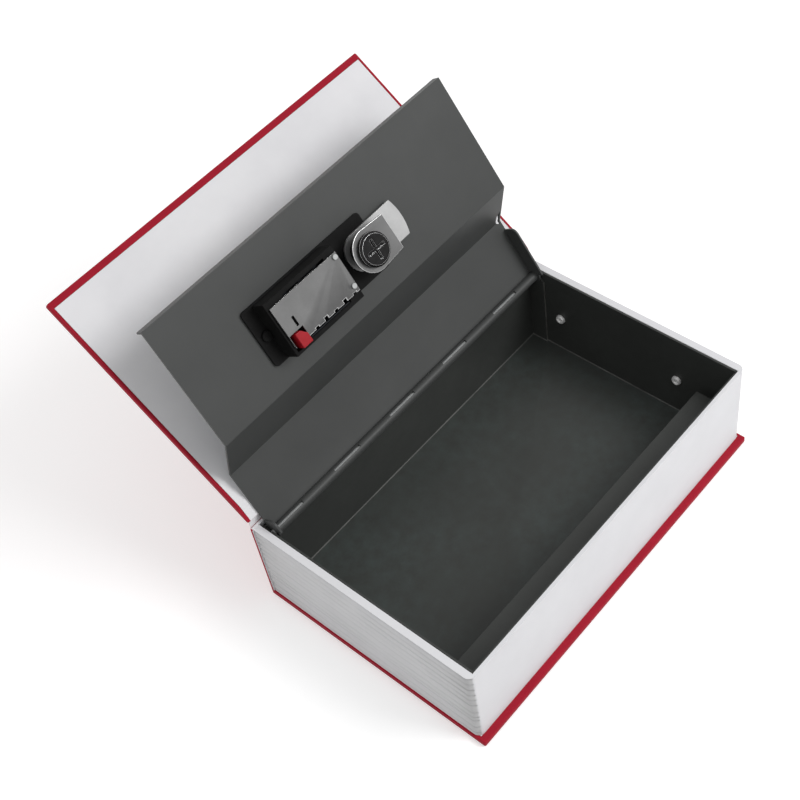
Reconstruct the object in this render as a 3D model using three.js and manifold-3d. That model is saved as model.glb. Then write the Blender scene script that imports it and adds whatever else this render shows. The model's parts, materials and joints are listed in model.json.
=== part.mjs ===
// A book diversion safe: a steel cash tray with a combination lid, hidden in a cloth-bound book.
// Millimetres. X runs from the book's tail to its head, +Y towards the spine, +Z up.
// The book lies on its back cover, open. The origin is the centre of the back cover's underside.
import * as THREE from 'three';
import { mergeVertices } from 'three/addons/utils/BufferGeometryUtils.js';
import Module from 'manifold-3d';

const wasm = await Module();
wasm.setup();

// Driving sizes of the closed book
const bookHeight = 180;
const bookWidth = 115;
const bookThickness = 52;
const lidOpenDegrees = 124;
const coverOpenDegrees = 143;

// Shared fits
const glueGap = 0.1;
const seatGap = 0.3;
const runningGap = 0.15;
const cutOverrun = 1;
const steelSheet = 0.8;

// Book cloth over greyboard, with the cloth turned in round every edge and paper inside
const clothThickness = 0.4;
const boardThickness = 2.2;
const spineBoardThickness = 0.6;
const turnInWidth = 2.6;
const endTurnInWidth = 1;
const hingeBevelRun = 7;
const hingeBevelRise = 2.2;
const hingeBoardInset = 3;
const coverThickness = boardThickness + 2 * (clothThickness + glueGap);
const spineThickness = spineBoardThickness + 2 * (clothThickness + glueGap);
const halfHeight = bookHeight / 2;
const halfWidth = bookWidth / 2;
const coverUnderside = bookThickness - coverThickness;
const spineInnerFace = halfWidth - spineThickness;
const spineTop = coverUnderside - seatGap;

// White moulded page block, three sided, its head and tail faces ribbed like page edges
const boardOverhang = 2.8;
const endOverhang = 0.6;
const pageEndWall = 3.1;
const pageForeWall = 1.4;
const pageCornerRadius = 3;
const pageRidgeDepth = 0.45;
const pageRidgeHeight = 1.3;
const pageRidgeCount = 14;
const pageBottom = coverThickness + glueGap;
const pageTop = coverUnderside - seatGap;
const pageHalfLength = halfHeight - endOverhang;
const pageForeFace = -(halfWidth - boardOverhang);
const pageSpineFace = spineInnerFace - glueGap;

// Folded steel tray inside the page block
const trayFit = 0.2;
const traySpineRoom = 1.6;
const rimBelowPages = 0.9;
const trayBottom = pageBottom;
const trayRim = pageTop - rimBelowPages;
const trayHalfOuter = pageHalfLength - pageEndWall - trayFit;
const trayHalfInner = trayHalfOuter - steelSheet;
const trayForeOuter = pageForeFace + pageForeWall + trayFit;
const trayForeInner = trayForeOuter + steelSheet;
const traySpineOuter = pageSpineFace - traySpineRoom;
const traySpineInner = traySpineOuter - steelSheet;
const trayFloor = trayBottom + steelSheet;
const cornerTabWidth = 8;
const cornerTabBelowRim = 2;
const cornerTabChamfer = 2.5;

// Hinge rod along the spine wall, under the rim
const hingeInset = 3.8;
const hingeBelowRim = 1.4;
const rodRadius = 1.2;
const rollBore = rodRadius + runningGap;
const rollOuter = rollBore + steelSheet;
const rollDegrees = 290;
const hingeY = traySpineInner - hingeInset;
const hingeZ = trayRim - hingeBelowRim;

// Lid of folded sheet, written closed: hinge strip, sloped step down, main panel, lip
const lidEndGap = 1;
const lidForeGap = 1.9;
const panelWidth = 54;
const stepRun = 16;
const stepDrop = 16;
const lipHeight = 3.5;
const lidHalfLength = trayHalfInner - lidEndGap;
const stripTop = hingeZ + rollOuter;
const stripUnderside = stripTop - steelSheet;
const lidForeEdge = trayForeInner + lidForeGap;
const panelStart = lidForeEdge + panelWidth;
const stripEnd = panelStart + stepRun;
const panelTop = stripTop - stepDrop;
const panelUnderside = panelTop - steelSheet;

// Rod windows in the rolled edge
const rodWindowCount = 5;
const rodWindowLength = 15.5;
const rodWindowHeight = 1.4;
const rodWindowDegrees = 222;
const rodWindowFromLidTail = 9;
const rodWindowFromLidHead = 22.3;
const firstWindowX = rodWindowFromLidTail - lidHalfLength;
const lastWindowX = lidHalfLength - rodWindowFromLidHead;
const rodWindowPitch = (lastWindowX - firstWindowX) / (rodWindowCount - 1);

// Flange turned down at the head end of the hinge strip, with its rod eye, and the tail eye
const earLength = 25;
const earDepth = 7;
const earCornerRadius = 3;
const eyeRadius = 3.2;
const tailEarLength = 6;
const stepNotchRadius = 3.2;
const gussetHeight = 7;

// Latch rail welded inside the fore-edge wall, which the lid rests on and the cam catches
const railWidth = 14;
const railLeg = 10;
const railTailInset = 0.5;
const railHeadInset = 5.5;
const railTop = panelUnderside - seatGap;

// Rivets that fix the tray's end walls to the page block
const rivetFromSpineWall = 16.4;
const rivetSpacing = 62;
const rivetAboveFloor = 19.9;
const rivetShankRadius = 1.2;
const rivetHeadRadius = 2.3;
const rivetDome = 1.3;
const rivetGrip = 3.4;
const rivetHeight = trayFloor + rivetAboveFloor;
const spineRivetY = traySpineInner - rivetFromSpineWall;
const rivetPlacesY = [spineRivetY, spineRivetY - rivetSpacing];

// Combination lock on the lid's panel, written with the lid closed
const lockFromForeEdge = 32.4;
const knobX = 9;
const bezelWidth = 34;
const bezelThickness = 2;
const bezelCornerRadius = 3.5;
const knobFromBezelHead = 14.7;
const lockCentreY = lidForeEdge + lockFromForeEdge;
const bezelBottom = panelTop + seatGap;
const bezelTop = bezelBottom + bezelThickness;
const bezelHeadEnd = knobX + knobFromBezelHead;
const borderInset = 1.8;
const borderWidth = 0.9;
const borderDepth = 0.35;

// Three ten-figure dials on one axle
const dialCount = 3;
const dialPitch = 8.3;
const firstDialFromBezelHead = 38;
const lastDialFromBezelTail = 17.4;
const dialRadius = 7;
const dialThickness = 5;
const dialProud = 1.7;
const dialNotches = 10;
const dialNotchDepth = 0.5;
const dialLandShare = 0.72;
const dialNotchShare = 0.12;
const dialSideGap = 0.5;
const axleRadius = 1;
const dialAxisZ = bezelTop + dialProud - dialRadius;
const windowHalfWidth = Math.sqrt(dialRadius ** 2 - (bezelBottom - dialAxisZ) ** 2) + seatGap;
const firstDialX = bezelHeadEnd - firstDialFromBezelHead;
const lastDialX = firstDialX - (dialCount - 1) * dialPitch;
const bezelTailEnd = lastDialX - lastDialFromBezelTail;

// Gate bar whose teeth move towards the dials as the knob is turned to lock
const barThickness = 1.2;
const barHeight = 4;
const barBelowAxis = 1.6;
const barTooth = 1;
const barToothWidth = 2;
const barTravel = 1;
const barRoom = barTravel + barTooth + barThickness + 2 * seatGap;

// Moulded lock housing under the panel, open below and closed by a steel plate
const housingWall = 1.8;
const housingHeadBlock = 6;
const dialRoom = 0.6;
const springRoom = 2.4;
const basePlate = 0.9;
const basePlateTail = 6;
const basePlateHead = 8.3;
const basePlateMargin = 0.6;
const basePlateCornerRadius = 1.6;
const leverBay = 7.5;
const plateThickness = 0.8;
const cavityTail = lastDialX - dialThickness / 2 - dialSideGap;
const cavityHead = firstDialX + dialThickness / 2 + dialSideGap;
const cavityHinge = lockCentreY + dialRadius + dialRoom + springRoom;
const cavityFore = lockCentreY - dialRadius - barRoom;
const housingTail = cavityTail - leverBay - housingWall;
const housingHead = cavityHead + housingHeadBlock;
const housingHinge = cavityHinge + housingWall;
const housingFore = cavityFore - housingWall;
const baseTop = panelUnderside - seatGap;
const baseBottom = baseTop - basePlate;
const housingBottom = dialAxisZ - dialRadius - dialRoom;
const plateTop = housingBottom - seatGap;
const plateBottom = plateTop - plateThickness;

// Leaf spring with a finger on each dial
const leafThickness = 0.4;
const leafHeight = 7;
const fingerWidth = 3;
const fingerRise = 4.5;

// Steel plate under the dials: notches along one edge, a slot, two riveted studs
const plateInset = 1;
const plateForeInset = 2.7;
const plateHingeInset = 3.3;
const plateNotchCount = 5;
const plateNotchWidth = 1.6;
const plateNotchDepth = 1.4;
const plateSlotFromTail = 5.4;
const plateSlotLength = 4.4;
const plateSlotWidth = 1.2;
const studRadius = 0.7;
const studHeadRadius = 1.1;
const studProud = 0.7;
const studDepth = 2.5;
const studInset = 1.5;

// Red reset lever at the tail, hinge-side corner
const leverLength = 5;
const leverWall = 1.2;
const leverWidth = 6.5;
const leverProud = 1.4;
const leverDepth = 4;
const leverTravel = 1.5;
const leverFit = 0.4;
const leverChamferLength = 2.5;
const leverChamferWidth = 2.8;

// Knob, spindle, cam tongue, cam plate and its screw turn together
const knobRadius = 10.4;
const knobHeight = 5.6;
const knobSocketDepth = 3;
const knobEdgeRound = 1.2;
const knobFootChamfer = 0.4;
const knobDishDepth = 0.7;
const knobDishRadius = 8.1;
const spindleRadius = 4;
const collarRadius = 6;
const camThickness = 1.2;
const camReach = 23.8;
const camHalfWidth = 8.2;
const camRestDegrees = 1;
const camPlateThickness = 1;
const camPlateRadius = 9.2;
const camPlateFlat = 12.3;
const camPlateHalfFlat = 8.2;
const camPlateRoundDegrees = 200;
const collarLength = 6;
const screwHeadRadius = 7.2;
const screwHeadHeight = 2.6;
const screwShankRadius = 2;
const screwShankLength = 5;
const screwSlotLength = 9;
const screwSlotWidth = 1.4;
const screwSlotDepth = 0.9;
const knobBottom = bezelTop + seatGap;
const camTop = baseBottom - seatGap;
const camBottom = camTop - camThickness;
const collarTop = camBottom - glueGap;
const collarBottom = collarTop - collarLength;
const camPlateTop = collarBottom - glueGap;
const camPlateBottom = camPlateTop - camPlateThickness;

// Two screws clamp the lid's sheet between the housing's base and the bezel
const clampRadius = 1.1;
const clampHeadRadius = 2.1;
const clampHeadHeight = 1.2;
const clampBite = 1.4;
const clampPlaces = [
  [knobX - camHalfWidth - clampHeadRadius, housingHinge - clampHeadRadius - glueGap],
  [housingTail - clampHeadRadius - glueGap, lockCentreY],
];

// Round and curved forms
const fineSteps = 32;
const roundSteps = 24;
const smallSteps = 16;
const cornerSteps = 5;

const finishes = {
  bookCloth: { color: 0x9b2233, roughness: 0.85, metalness: 0 },
  greyBoard: { color: 0x9a948a, roughness: 0.95, metalness: 0 },
  liningPaper: { color: 0xe9e8ea, roughness: 0.9, metalness: 0 },
  pagePlastic: { color: 0xdcdcde, roughness: 0.55, metalness: 0 },
  paintedSteel: { color: 0x4a4c4b, roughness: 0.5, metalness: 0.3 },
  brightSteel: { color: 0xb9bcbe, roughness: 0.3, metalness: 1 },
  platedSteel: { color: 0x9c9c9a, roughness: 0.45, metalness: 1 },
  blackPlastic: { color: 0x1b1b1c, roughness: 0.45, metalness: 0 },
  goldFoil: { color: 0xd8cf8a, roughness: 0.35, metalness: 0.8 },
  redPlastic: { color: 0xa8202c, roughness: 0.4, metalness: 0 },
};

const book = new THREE.Group();

// A group that swings about a line parallel to X, whose children are written closed
function hingedGroup(y, z, openDegrees) {
  const swing = new THREE.Group();
  swing.position.set(0, y, z);
  swing.rotation.x = -THREE.MathUtils.degToRad(openDegrees);
  const closed = new THREE.Group();
  closed.position.set(0, -y, -z);
  swing.add(closed);
  book.add(swing);
  return closed;
}

const lidGroup = hingedGroup(hingeY, hingeZ, lidOpenDegrees);
const coverGroup = hingedGroup(halfWidth, bookThickness, coverOpenDegrees);

function addPiece(parent, name, shape, finish) {
  const geometry = shape.isBufferGeometry ? shape : geometryOf(shape);
  const mesh = new THREE.Mesh(geometry, new THREE.MeshStandardMaterial(finishes[finish]));
  mesh.name = name;
  parent.add(mesh);
}

// A closed geometry as a solid that can be joined and cut
function solid(geometry) {
  const bare = geometry.clone();
  bare.deleteAttribute('normal');
  bare.deleteAttribute('uv');
  const merged = mergeVertices(bare);
  return new wasm.Manifold(new wasm.Mesh({
    numProp: 3,
    vertProperties: merged.attributes.position.array,
    triVerts: new Uint32Array(merged.index.array),
  }));
}

function geometryOf(manifold) {
  const mesh = manifold.getMesh();
  const geometry = new THREE.BufferGeometry();
  geometry.setAttribute('position', new THREE.BufferAttribute(mesh.vertProperties, 3));
  geometry.setIndex(new THREE.BufferAttribute(mesh.triVerts, 1));
  const faceted = geometry.toNonIndexed();
  faceted.computeVertexNormals();
  return faceted;
}

// A block between two opposite corners
function block(x0, y0, z0, x1, y1, z1) {
  const geometry = new THREE.BoxGeometry(x1 - x0, y1 - y0, z1 - z0);
  return solid(geometry.translate((x0 + x1) / 2, (y0 + y1) / 2, (z0 + z1) / 2));
}

// An outline pushed along X, Y or Z. Its points are (y, z), (z, x) or (x, y) in turn.
const pushAxes = {
  x: [[0, 1, 0], [0, 0, 1], [1, 0, 0]],
  y: [[0, 0, 1], [1, 0, 0], [0, 1, 0]],
  z: [[1, 0, 0], [0, 1, 0], [0, 0, 1]],
};

function prism(axis, outline, from, to) {
  const shape = new THREE.Shape(outline.map(([a, b]) => new THREE.Vector2(a, b)));
  const pushed = new THREE.ExtrudeGeometry(shape, { depth: to - from, bevelEnabled: false });
  pushed.translate(0, 0, from);
  const basis = pushAxes[axis].map((v) => new THREE.Vector3(...v));
  return solid(pushed.applyMatrix4(new THREE.Matrix4().makeBasis(...basis)));
}

function arc(cx, cy, radius, fromDegrees, toDegrees, steps) {
  return Array.from({ length: steps + 1 }, (_, i) => {
    const a = THREE.MathUtils.degToRad(fromDegrees + (toDegrees - fromDegrees) * i / steps);
    return [cx + radius * Math.cos(a), cy + radius * Math.sin(a)];
  });
}

function roundedRectangle(x0, y0, x1, y1, radius) {
  return [
    ...arc(x1 - radius, y0 + radius, radius, -90, 0, cornerSteps),
    ...arc(x1 - radius, y1 - radius, radius, 0, 90, cornerSteps),
    ...arc(x0 + radius, y1 - radius, radius, 90, 180, cornerSteps),
    ...arc(x0 + radius, y0 + radius, radius, 180, 270, cornerSteps),
  ];
}

// A round bar along X or Z between two places
function bar(axis, a, b, radius, from, to, steps = smallSteps) {
  return prism(axis, arc(a, b, radius, 0, 360 - 360 / steps, steps - 1), from, to);
}

function union(pieces) {
  return pieces.reduce((whole, piece) => whole.add(piece));
}

function cutAll(whole, cutters) {
  return cutters.reduce((left, cutter) => left.subtract(cutter), whole);
}

// Case binding on the base: back and spine boards, one cloth round both, paper on the back board
function addCase() {
  const inner = clothThickness + glueGap;
  const pocketTop = coverThickness - clothThickness;
  const pocketSpine = spineInnerFace + clothThickness;
  const window = clothThickness + turnInWidth;
  const endWindow = clothThickness + endTurnInWidth;
  const cloth = union([
    block(-halfHeight, -halfWidth, 0, halfHeight, halfWidth, coverThickness),
    block(-halfHeight, spineInnerFace, 0, halfHeight, halfWidth, spineTop),
  ]);
  const pocketEnd = halfHeight - clothThickness;
  const windowEnd = halfHeight - endWindow;
  addPiece(book, 'case_cloth', cutAll(cloth, [
    block(-pocketEnd, clothThickness - halfWidth, clothThickness,
      pocketEnd, pocketSpine, pocketTop),
    block(-windowEnd, window - halfWidth, pocketTop - glueGap / 2,
      windowEnd, spineInnerFace, coverThickness + cutOverrun),
    block(-pocketEnd, pocketSpine, clothThickness,
      pocketEnd, halfWidth - clothThickness, spineTop - clothThickness),
    block(-windowEnd, spineInnerFace - cutOverrun, pocketTop - glueGap / 2,
      windowEnd, pocketSpine + glueGap / 2, spineTop - window),
  ]), 'bookCloth');
  addPiece(book, 'back_board', block(
    inner - halfHeight, inner - halfWidth, inner,
    halfHeight - inner, pocketSpine - glueGap, pocketTop - glueGap), 'greyBoard');
  addPiece(book, 'spine_board', block(
    inner - halfHeight, pocketSpine + glueGap, inner,
    halfHeight - inner, halfWidth - inner, spineTop - inner), 'greyBoard');
  addPiece(book, 'back_lining', block(
    glueGap - windowEnd, window + glueGap - halfWidth, pocketTop,
    windowEnd - glueGap, spineInnerFace - glueGap, coverThickness), 'liningPaper');
}

// Front cover, written closed: board, cloth and paper, all thinned by a bevel along the hinge
function addFrontCover() {
  const inner = clothThickness + glueGap;
  const window = clothThickness + turnInWidth;
  const bevelStart = halfWidth - hingeBevelRun;
  const boardEnd = halfWidth - hingeBoardInset;
  const slope = hingeBevelRise / hingeBevelRun;
  const face = (y, lift) => [y, coverUnderside + lift + Math.max(0, y - bevelStart) * slope];
  const band = (from, to, low, high) => [
    face(from, low), face(bevelStart, low), face(to, low),
    face(to, high), face(bevelStart, high), face(from, high),
  ];
  const between = (from, to, low, top) => [
    face(from, low), face(bevelStart, low), face(to, low), [to, top], [from, top],
  ];
  const pocketEnd = halfHeight - clothThickness;
  const windowEnd = halfHeight - clothThickness - endTurnInWidth;
  const slab = prism('x', between(-halfWidth, halfWidth, 0, bookThickness),
    -halfHeight, halfHeight);
  addPiece(coverGroup, 'front_cloth', cutAll(slab, [
    prism('x', between(clothThickness - halfWidth, boardEnd, clothThickness,
      bookThickness - clothThickness), -pocketEnd, pocketEnd),
    prism('x', band(window - halfWidth, boardEnd, -cutOverrun, clothThickness + glueGap / 2),
      -windowEnd, windowEnd),
  ]), 'bookCloth');
  addPiece(coverGroup, 'front_board', prism('x', between(inner - halfWidth,
    boardEnd - glueGap, inner, bookThickness - inner),
  inner - halfHeight, halfHeight - inner), 'greyBoard');
  addPiece(coverGroup, 'front_lining', prism('x', band(window + glueGap - halfWidth,
    boardEnd - glueGap, 0, clothThickness), glueGap - windowEnd, windowEnd - glueGap),
  'liningPaper');
}

// Page block: walls on the tail, fore-edge and head, with page ridges cut into both ends
function addPageBlock() {
  const outer = [
    ...arc(pageForeFace + pageCornerRadius, pageCornerRadius - pageHalfLength,
      pageCornerRadius, 270, 180, cornerSteps),
    ...arc(pageForeFace + pageCornerRadius, pageHalfLength - pageCornerRadius,
      pageCornerRadius, 180, 90, cornerSteps),
    [pageSpineFace, pageHalfLength],
    [pageSpineFace, -pageHalfLength],
  ].map(([y, x]) => [x, y]);
  const innerEnd = pageHalfLength - pageEndWall;
  let walls = prism('z', outer, pageBottom, pageTop).subtract(
    block(-innerEnd, pageForeFace + pageForeWall, pageBottom - cutOverrun,
      innerEnd, pageSpineFace + cutOverrun, pageTop + cutOverrun));
  const pitch = (pageTop - pageBottom) / (pageRidgeCount + 1);
  const ridgeStart = pageForeFace + pageCornerRadius;
  for (let i = 1; i <= pageRidgeCount; i += 1) {
    const z = pageBottom + i * pitch;
    for (const side of [-1, 1]) {
      const groove = [
        [z - pageRidgeHeight / 2, side * (pageHalfLength + cutOverrun)],
        [z - pageRidgeHeight / 2, side * pageHalfLength],
        [z, side * (pageHalfLength - pageRidgeDepth)],
        [z + pageRidgeHeight / 2, side * pageHalfLength],
        [z + pageRidgeHeight / 2, side * (pageHalfLength + cutOverrun)],
      ];
      walls = walls.subtract(prism('y', groove, ridgeStart, pageSpineFace + cutOverrun));
    }
  }
  addPiece(book, 'page_block', cutAll(walls, rivetBores(rivetGrip + runningGap)), 'pagePlastic');
}

// Bores for the rivets, from inside the tray outwards
function rivetBores(depth) {
  const bores = [];
  for (const side of [-1, 1]) {
    for (const y of rivetPlacesY) {
      const ends = [side * (trayHalfInner - cutOverrun), side * (trayHalfInner + depth)];
      bores.push(bar('x', y, rivetHeight, rivetShankRadius + runningGap,
        Math.min(...ends), Math.max(...ends)));
    }
  }
  return bores;
}

function addRivets() {
  const profile = [
    ...arc(0, 0, 1, 0, 90, cornerSteps).map(([c, s]) => [rivetHeadRadius * s, -rivetDome * c]),
    [rivetShankRadius, 0],
    [rivetShankRadius, rivetGrip],
    [0, rivetGrip],
  ].map(([r, h]) => new THREE.Vector2(r, h));
  const ends = [['tail', -1], ['head', 1]];
  for (const [end, side] of ends) {
    rivetPlacesY.forEach((y, i) => {
      const rivet = new THREE.LatheGeometry(profile, smallSteps);
      rivet.rotateZ(-side * Math.PI / 2);
      rivet.translate(side * (trayHalfInner - glueGap), y, rivetHeight);
      addPiece(book, `${end}_rivet_${i + 1}`, solid(rivet), 'brightSteel');
    });
  }
}

// Steel tray with a lapped tab in each spine-side corner and holes for the hinge rod
function addTray() {
  const shell = block(-trayHalfOuter, trayForeOuter, trayBottom,
    trayHalfOuter, traySpineOuter, trayRim).subtract(
    block(-trayHalfInner, trayForeInner, trayFloor,
      trayHalfInner, traySpineInner, trayRim + cutOverrun));
  const tabTop = trayRim - cornerTabBelowRim;
  const tab = [
    [traySpineInner + steelSheet / 2, trayFloor - steelSheet / 2],
    [traySpineInner + steelSheet / 2, tabTop],
    [traySpineInner - cornerTabWidth + cornerTabChamfer, tabTop],
    [traySpineInner - cornerTabWidth, tabTop - cornerTabChamfer],
    [traySpineInner - cornerTabWidth, trayFloor - steelSheet / 2],
  ];
  const tabInner = trayHalfInner - steelSheet;
  const tabOuter = trayHalfInner + steelSheet / 2;
  const tray = union([
    shell,
    prism('x', tab, -tabOuter, -tabInner),
    prism('x', tab, tabInner, tabOuter),
  ]);
  addPiece(book, 'steel_tray', cutAll(tray, [
    bar('x', hingeY, hingeZ, rodRadius + runningGap,
      -trayHalfOuter - cutOverrun, trayHalfOuter + cutOverrun),
    ...rivetBores(steelSheet + trayFit / 2),
  ]), 'paintedSteel');
}

function addLatchRail() {
  const wall = trayForeInner + glueGap;
  const angle = [
    [wall, railTop],
    [wall, railTop - steelSheet - railLeg],
    [wall + steelSheet, railTop - steelSheet - railLeg],
    [wall + steelSheet, railTop - steelSheet],
    [trayForeInner + railWidth, railTop - steelSheet],
    [trayForeInner + railWidth, railTop],
  ];
  addPiece(book, 'latch_rail', prism('x', angle,
    railTailInset - trayHalfInner, trayHalfInner - railHeadInset), 'paintedSteel');
}

function addHingeRod() {
  addPiece(book, 'hinge_rod', bar('x', hingeY, hingeZ, rodRadius,
    -trayHalfOuter, trayHalfOuter, roundSteps), 'brightSteel');
}

// Lid: one folded sheet with a rolled edge, an ear at each end of the strip and the lock's cuts
function addLid() {
  const bend = steelSheet * Math.tan(Math.atan2(stepDrop, stepRun) / 2);
  const profile = [
    [lidForeEdge, panelUnderside],
    [panelStart + bend, panelUnderside],
    [stripEnd + bend, stripUnderside],
    [hingeY, stripUnderside],
    ...arc(hingeY, hingeZ, rollBore, 90, 90 - rollDegrees, roundSteps).slice(1),
    ...arc(hingeY, hingeZ, rollOuter, 90 - rollDegrees, 90, roundSteps),
    [stripEnd, stripTop],
    [panelStart, panelTop],
    [lidForeEdge + steelSheet, panelTop],
    [lidForeEdge + steelSheet, panelTop + lipHeight],
    [lidForeEdge, panelTop + lipHeight],
  ];
  const sheet = union([
    prism('x', profile, -lidHalfLength, lidHalfLength),
    ear(earLength, lidHalfLength - steelSheet, lidHalfLength),
    ear(tailEarLength, -lidHalfLength, steelSheet - lidHalfLength),
    gusset(),
  ]);
  const rodBore = bar('x', hingeY, hingeZ, rollBore,
    -lidHalfLength - cutOverrun, lidHalfLength + cutOverrun, roundSteps);
  const notch = bar('z', lidHalfLength, stripEnd - stepNotchRadius / 2,
    stepNotchRadius, panelUnderside - cutOverrun, stripTop + cutOverrun, roundSteps);
  const notchKeep = block(lidHalfLength - steelSheet, panelStart - stepNotchRadius,
    panelTop, lidHalfLength, stripEnd + stepNotchRadius, stripTop);
  const cuts = [
    rodBore,
    notch.subtract(notchKeep),
    lockOpening(panelUnderside - cutOverrun, panelTop + cutOverrun),
    bar('z', knobX, lockCentreY, spindleRadius + seatGap,
      panelUnderside - cutOverrun, panelTop + cutOverrun, roundSteps),
    ...clampBores(panelUnderside - cutOverrun, panelTop + cutOverrun),
  ];
  for (let i = 0; i < rodWindowCount; i += 1) {
    cuts.push(rodWindow(firstWindowX + i * rodWindowPitch));
  }
  addPiece(lidGroup, 'lid', cutAll(sheet, cuts), 'paintedSteel');
}

// A window through the roll, on the side that shows the rod when the lid is open
function rodWindow(x) {
  const a = THREE.MathUtils.degToRad(rodWindowDegrees);
  const outside = rollOuter + cutOverrun;
  const half = rodWindowHeight / 2;
  const outline = [[0, -half], [outside, -half], [outside, half], [0, half]].map(([out, across]) => [
    hingeY + out * Math.cos(a) - across * Math.sin(a),
    hingeZ + out * Math.sin(a) + across * Math.cos(a),
  ]);
  return prism('x', outline, x - rodWindowLength / 2, x + rodWindowLength / 2);
}

// A flange turned down from the strip's end, round at the rod's eye and at its far corner
function ear(length, from, to) {
  const lowest = stripUnderside - earDepth;
  const far = hingeY - length;
  const flange = [
    [hingeY, stripUnderside + steelSheet / 2],
    [far, stripUnderside + steelSheet / 2],
    ...arc(far + earCornerRadius, lowest + earCornerRadius, earCornerRadius,
      180, 270, cornerSteps),
    [hingeY, lowest],
  ];
  const eyeTop = block(from, hingeY - eyeRadius, stripUnderside + steelSheet / 2,
    to, hingeY + eyeRadius, stripTop + eyeRadius);
  return union([
    prism('x', flange, from, to),
    bar('x', hingeY, hingeZ, eyeRadius, from, to, roundSteps).subtract(eyeTop),
  ]);
}

// A small web at the head end that ties the sloped step to the panel
function gusset() {
  const web = [
    [stripEnd, stripTop - steelSheet / 2],
    [panelStart, panelTop - steelSheet / 2],
    [panelStart - gussetHeight, panelTop - steelSheet / 2],
  ];
  return prism('x', web, lidHalfLength - steelSheet, lidHalfLength);
}

// The opening that the dials come through
function lockOpening(from, to) {
  return block(cavityTail, lockCentreY - dialRadius - dialRoom, from,
    cavityHead, lockCentreY + dialRadius + dialRoom, to);
}

function clampBores(from, to) {
  return clampPlaces.map(([x, y]) => bar('z', x, y, clampRadius + runningGap, from, to));
}

// Black bezel on the lid's outer side, with three dial windows and a sunk gold border
function addBezel() {
  const low = lockCentreY - bezelWidth / 2;
  const high = lockCentreY + bezelWidth / 2;
  const plate = prism('z', roundedRectangle(bezelTailEnd, low, bezelHeadEnd, high,
    bezelCornerRadius), bezelBottom, bezelTop);
  const frame = (outward, from, to) => {
    const rim = borderInset - outward;
    const inside = borderInset + borderWidth + outward;
    return prism('z', roundedRectangle(bezelTailEnd + rim, low + rim, bezelHeadEnd - rim,
      high - rim, bezelCornerRadius - rim), from, to).subtract(
      prism('z', roundedRectangle(bezelTailEnd + inside, low + inside,
        bezelHeadEnd - inside, high - inside, bezelCornerRadius - borderInset),
      from - cutOverrun, to + cutOverrun));
  };
  const cuts = [
    frame(glueGap, bezelTop - borderDepth, bezelTop + cutOverrun),
    bar('z', knobX, lockCentreY, spindleRadius + seatGap,
      bezelBottom - cutOverrun, bezelTop + cutOverrun, roundSteps),
    ...clampBores(bezelBottom - cutOverrun, bezelBottom + clampBite + glueGap),
  ];
  for (let i = 0; i < dialCount; i += 1) {
    const x = firstDialX - i * dialPitch;
    const half = dialThickness / 2 + dialSideGap;
    cuts.push(block(x - half, lockCentreY - windowHalfWidth, bezelBottom - cutOverrun,
      x + half, lockCentreY + windowHalfWidth, bezelTop + cutOverrun));
  }
  addPiece(lidGroup, 'lock_bezel', cutAll(plate, cuts), 'blackPlastic');
  addPiece(lidGroup, 'bezel_border',
    frame(0, bezelTop - borderDepth + glueGap, bezelTop), 'goldFoil');
}

// Moulded housing under the panel
function addHousing() {
  const base = prism('z', roundedRectangle(housingTail - basePlateTail,
    housingFore - basePlateMargin, knobX + basePlateHead, housingHinge + basePlateMargin,
    basePlateCornerRadius), baseBottom, baseTop);
  const body = block(housingTail, housingFore, housingBottom,
    housingHead, housingHinge, baseBottom + basePlate / 2);
  const through = [housingBottom - cutOverrun, baseBottom];
  const cuts = [
    block(cavityTail, cavityFore, through[0], cavityHead, cavityHinge, through[1]),
    lockOpening(through[1] - cutOverrun, baseTop + cutOverrun),
    bar('z', knobX, lockCentreY, spindleRadius + seatGap,
      baseBottom - cutOverrun, baseTop + cutOverrun, roundSteps),
    bar('x', lockCentreY, dialAxisZ, axleRadius + runningGap,
      cavityTail - housingWall, cavityHead + housingWall + cutOverrun),
    leverPocket(),
    ...clampBores(baseBottom - cutOverrun, baseTop + cutOverrun),
    ...studPlaces().map(([x, y]) => bar('z', x, y, studRadius + runningGap,
      housingBottom - cutOverrun, housingBottom + studDepth + glueGap)),
  ];
  addPiece(lidGroup, 'lock_housing', cutAll(base.add(body), cuts), 'blackPlastic');
}

// Dials: ten shallow finger notches between the figures
function addDials() {
  const step = 360 / dialNotches;
  const land = step * dialLandShare / 2;
  const floor = step * dialNotchShare / 2;
  const outline = [];
  for (let i = 0; i < dialNotches; i += 1) {
    const middle = 90 + i * step;
    outline.push(...arc(0, 0, dialRadius, middle - land, middle + land, 3));
    outline.push(...arc(0, 0, dialRadius - dialNotchDepth,
      middle + step / 2 - floor, middle + step / 2 + floor, 1));
  }
  const placed = outline.map(([y, z]) => [y + lockCentreY, z + dialAxisZ]);
  for (let i = 0; i < dialCount; i += 1) {
    const x = firstDialX - i * dialPitch;
    const wheel = prism('x', placed, x - dialThickness / 2, x + dialThickness / 2);
    const bore = bar('x', lockCentreY, dialAxisZ, axleRadius + runningGap,
      x - dialThickness, x + dialThickness);
    addPiece(lidGroup, `dial_${i + 1}`, wheel.subtract(bore), 'blackPlastic');
  }
  addPiece(lidGroup, 'dial_axle', bar('x', lockCentreY, dialAxisZ, axleRadius,
    cavityTail - housingWall + seatGap, cavityHead + housingWall), 'brightSteel');
}

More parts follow.
